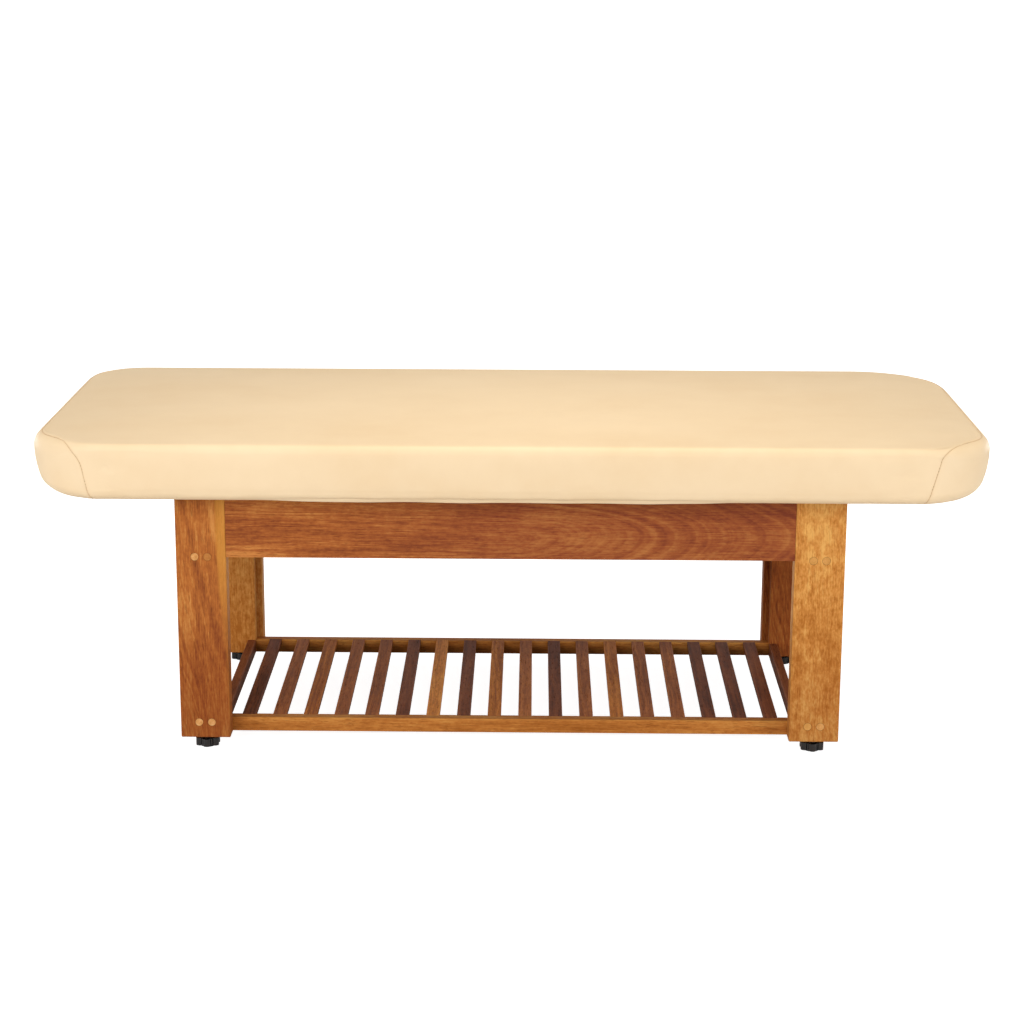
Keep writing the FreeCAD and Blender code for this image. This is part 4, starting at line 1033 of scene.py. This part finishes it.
def hem_staples(material):
    """Staples that hold the hem and the cloth: flat wire bars at an even pitch round the plan."""
    pitch, crown, wire = 0.032, 0.010, 0.0006
    inset = HEM - 0.006
    steps = np.arange(0, ROUND - pitch / 2, pitch)
    x, y, nx, ny = plan(steps)
    lean = np.radians(12) * np.random.default_rng(23).uniform(-1, 1, len(steps))
    along = np.stack((-ny * np.cos(lean) + nx * np.sin(lean), nx * np.cos(lean) + ny * np.sin(lean)), axis=-1)
    across = np.stack((-along[:, 1], along[:, 0]), axis=-1)
    centre = np.stack((x - nx * (inset + UNDERCUT), y - ny * inset), axis=-1)
    corners = np.array([(u, v, w) for w in (-1, 1) for u, v in ((-1, -1), (1, -1), (1, 1), (-1, 1))], float)
    along, across = along[:, None] * corners[:, :1], across[:, None] * corners[:, 1:2]
    flat = centre[:, None] + along * crown / 2 + across * wire / 2
    level = np.full(flat.shape[:2] + (1,), BOTTOM - wire / 4) + corners[None, :, 2, None] * wire / 2
    points = np.concatenate((flat, level), axis=-1)
    box = np.array([(3, 2, 1, 0), (4, 5, 6, 7), (0, 1, 5, 4), (1, 2, 6, 5), (2, 3, 7, 6), (3, 0, 4, 7)])
    quads = (np.arange(len(steps)) * 8)[:, None, None] + box[None]
    made = put_mesh("hem_staples", points, quads, material)
    made.data.shade_flat()
    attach(made, "bed")


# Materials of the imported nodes
def dress_nodes():
    """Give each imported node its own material."""
    finishes = wood_finishes()
    finishes["screw_plugs"] = plug_finish()
    finishes["deck_board"] = plywood_finish()
    steel = steel_finish()
    plastic = plastic_finish()
    rubber = rubber_finish()
    for node in ("leg_screws", "deck_screws", "foot_inserts"):
        finishes[node] = steel
    for face, side in LEGS:
        finishes[f"{face}_{side}_foot_stem"] = steel
        finishes[f"{face}_{side}_foot_knob"] = plastic
        finishes[f"{face}_{side}_foot_pad"] = rubber
    for node, material in finishes.items():
        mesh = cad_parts[node].data
        mesh.materials.clear()
        mesh.materials.append(material)
    return steel


# Studio
WHITE = (1, 1, 1, 1)
PLAIN_LIGHT = (1.0, 1.0, 1.0)
WARM_LIGHT = (1.0, 0.92, 0.76)

# Each lamp's name, place, target, size, watts and tint: a wide key from the front left, fills from the sides
# and the back, and a warm lamp above
SOFTBOXES = (
    ("key_softbox", (-2.6, -5.0, 3.0), (0, 0, 0.45), (3.2, 2.2), 112.0, (1.0, 0.99, 0.985)),
    ("right_softbox", (3.4, -4.4, 2.0), (0, 0, 0.45), (2.6, 2.0), 18.0, PLAIN_LIGHT),
    ("left_fill", (-3.8, -2.4, 0.75), (-0.9, 0, 0.6), (1.6, 1.2), 30.0, PLAIN_LIGHT),
    ("right_fill", (3.8, -2.4, 0.75), (0.9, 0, 0.6), (1.6, 1.2), 44.0, PLAIN_LIGHT),
    ("back_left_fill", (-3.6, 3.0, 0.7), (-0.5, 0.2, 0.5), (1.6, 1.0), 26.0, PLAIN_LIGHT),
    ("back_right_fill", (3.6, 3.0, 0.7), (0.5, 0.2, 0.5), (1.6, 1.0), 26.0, PLAIN_LIGHT),
    ("top_softbox", (0.15, -0.35, 2.4), (0.1, -0.1, 0.6), (1.6, 0.9), 20.5, WARM_LIGHT),
)


def make_floor():
    """A pale floor that curves up into a backdrop, white to the camera except in the object's shadow."""
    finish = Finish("pale_floor")
    ray = finish.node("ShaderNodeLightPath", {}, {}, "Is Camera Ray")
    diffuse = finish.node("ShaderNodeBsdfDiffuse", {}, {"Color": (0.8, 0.8, 0.8, 1)})
    glow = finish.node("ShaderNodeEmission", {}, {"Color": WHITE, "Strength": 0.88})
    both = finish.node("ShaderNodeAddShader", {}, {0: diffuse, 1: glow})
    seen = finish.node("ShaderNodeMixShader", {}, {0: ray, 1: diffuse, 2: both})
    finish.node("ShaderNodeOutputMaterial", {}, {"Surface": seen})
    half, back, rise, bend = 14.0, 7.0, 9.0, 2.5
    turn = np.linspace(0, math.pi / 2, 13)
    y = np.concatenate(([-12.0], back + bend * np.sin(turn), [back + bend]))
    z = np.concatenate(([0.0], bend * (1 - np.cos(turn)), [rise]))
    points = np.stack([np.stack((np.full(len(y), sign * half), y, z), axis=-1) for sign in (-1, 1)], axis=1)
    numbers = np.arange(len(y) * 2).reshape(-1, 2)
    quads = np.stack((numbers[:-1, 0], numbers[:-1, 1], numbers[1:, 1], numbers[1:, 0]), axis=-1)
    floor = put_mesh("studio_floor", points, quads, finish.owner)


def light_studio():
    """Rectangular lamps that face their targets, and a pale world that the camera sees as white."""
    for name, place, target, size, power, tint in SOFTBOXES:
        lamp = bpy.data.lights.new(name, "AREA")
        lamp.shape = "RECTANGLE"
        lamp.size, lamp.size_y = size
        lamp.energy = power
        lamp.color = tint
        made = put_object(name, lamp)
        made.location = place
        made.rotation_euler = (Vector(target) - Vector(place)).to_track_quat("-Z", "Y").to_euler()
    sky = Finish("studio", "worlds")
    bpy.context.scene.world = sky.owner
    ray = sky.node("ShaderNodeLightPath", {}, {}, "Is Camera Ray")
    lit = sky.node("ShaderNodeBackground", {}, {"Color": WHITE, "Strength": 0.50})
    seen = sky.node("ShaderNodeBackground", {}, {"Color": WHITE, "Strength": 1.0})
    mix = sky.node("ShaderNodeMixShader", {}, {0: ray, 1: lit, 2: seen})
    sky.node("ShaderNodeOutputWorld", {}, {"Surface": mix})


# The camera of the photograph: its place, turns in degrees, and lens in pixels of a 1024 pixel frame
CAMERA_PLACE = (0.04545, -4.9345, 1.6675)
CAMERA_PITCH = 14.15
CAMERA_YAW = -0.86
CAMERA_ROLL = 0.16
FOCAL_PIXELS = 2363.0
AXIS_PIXEL = (498.25, 514.2)
FRAME_PIXELS = 1024
SENSOR = 36.0


def make_camera():
    """Set the camera: looking along its pitch and yaw, rolled about that line, with the lens shifted."""
    pitch, yaw, roll = [math.radians(turn) for turn in (CAMERA_PITCH, CAMERA_YAW, CAMERA_ROLL)]
    forward = Vector((math.sin(yaw) * math.cos(pitch), math.cos(yaw) * math.cos(pitch), -math.sin(pitch)))
    level = Vector((math.cos(yaw), -math.sin(yaw), 0))
    above = level.cross(forward)
    right = level * math.cos(roll) + above * math.sin(roll)
    up = above * math.cos(roll) - level * math.sin(roll)
    data = bpy.data.cameras.new("photo_camera")
    data.sensor_width = SENSOR
    data.lens = FOCAL_PIXELS / FRAME_PIXELS * SENSOR
    data.shift_x = (FRAME_PIXELS / 2 - AXIS_PIXEL[0]) / FRAME_PIXELS
    data.shift_y = (AXIS_PIXEL[1] - FRAME_PIXELS / 2) / FRAME_PIXELS
    camera = put_object("photo_camera", data)
    turned = Matrix((right, up, -forward)).transposed().to_4x4()
    camera.matrix_world = Matrix.Translation(CAMERA_PLACE) @ turned
    bpy.context.scene.camera = camera


make_camera()
make_floor()
light_studio()
steel = dress_nodes()
vinyl = vinyl_finish()
thread = thread_finish()
cushion = Cushion()
cushion.settle()
cushion.soften()
cushion.panels(vinyl)
for side, name in ((-1, "left_seam_stitches"), (1, "right_seam_stitches")):
    seam_stitches(cushion, side, name, thread)
make_foams()
dust_sheet()
hem_staples(steel)
bpy.context.scene.view_settings.view_transform = "Standard"

bpy.context.view_layer.update()
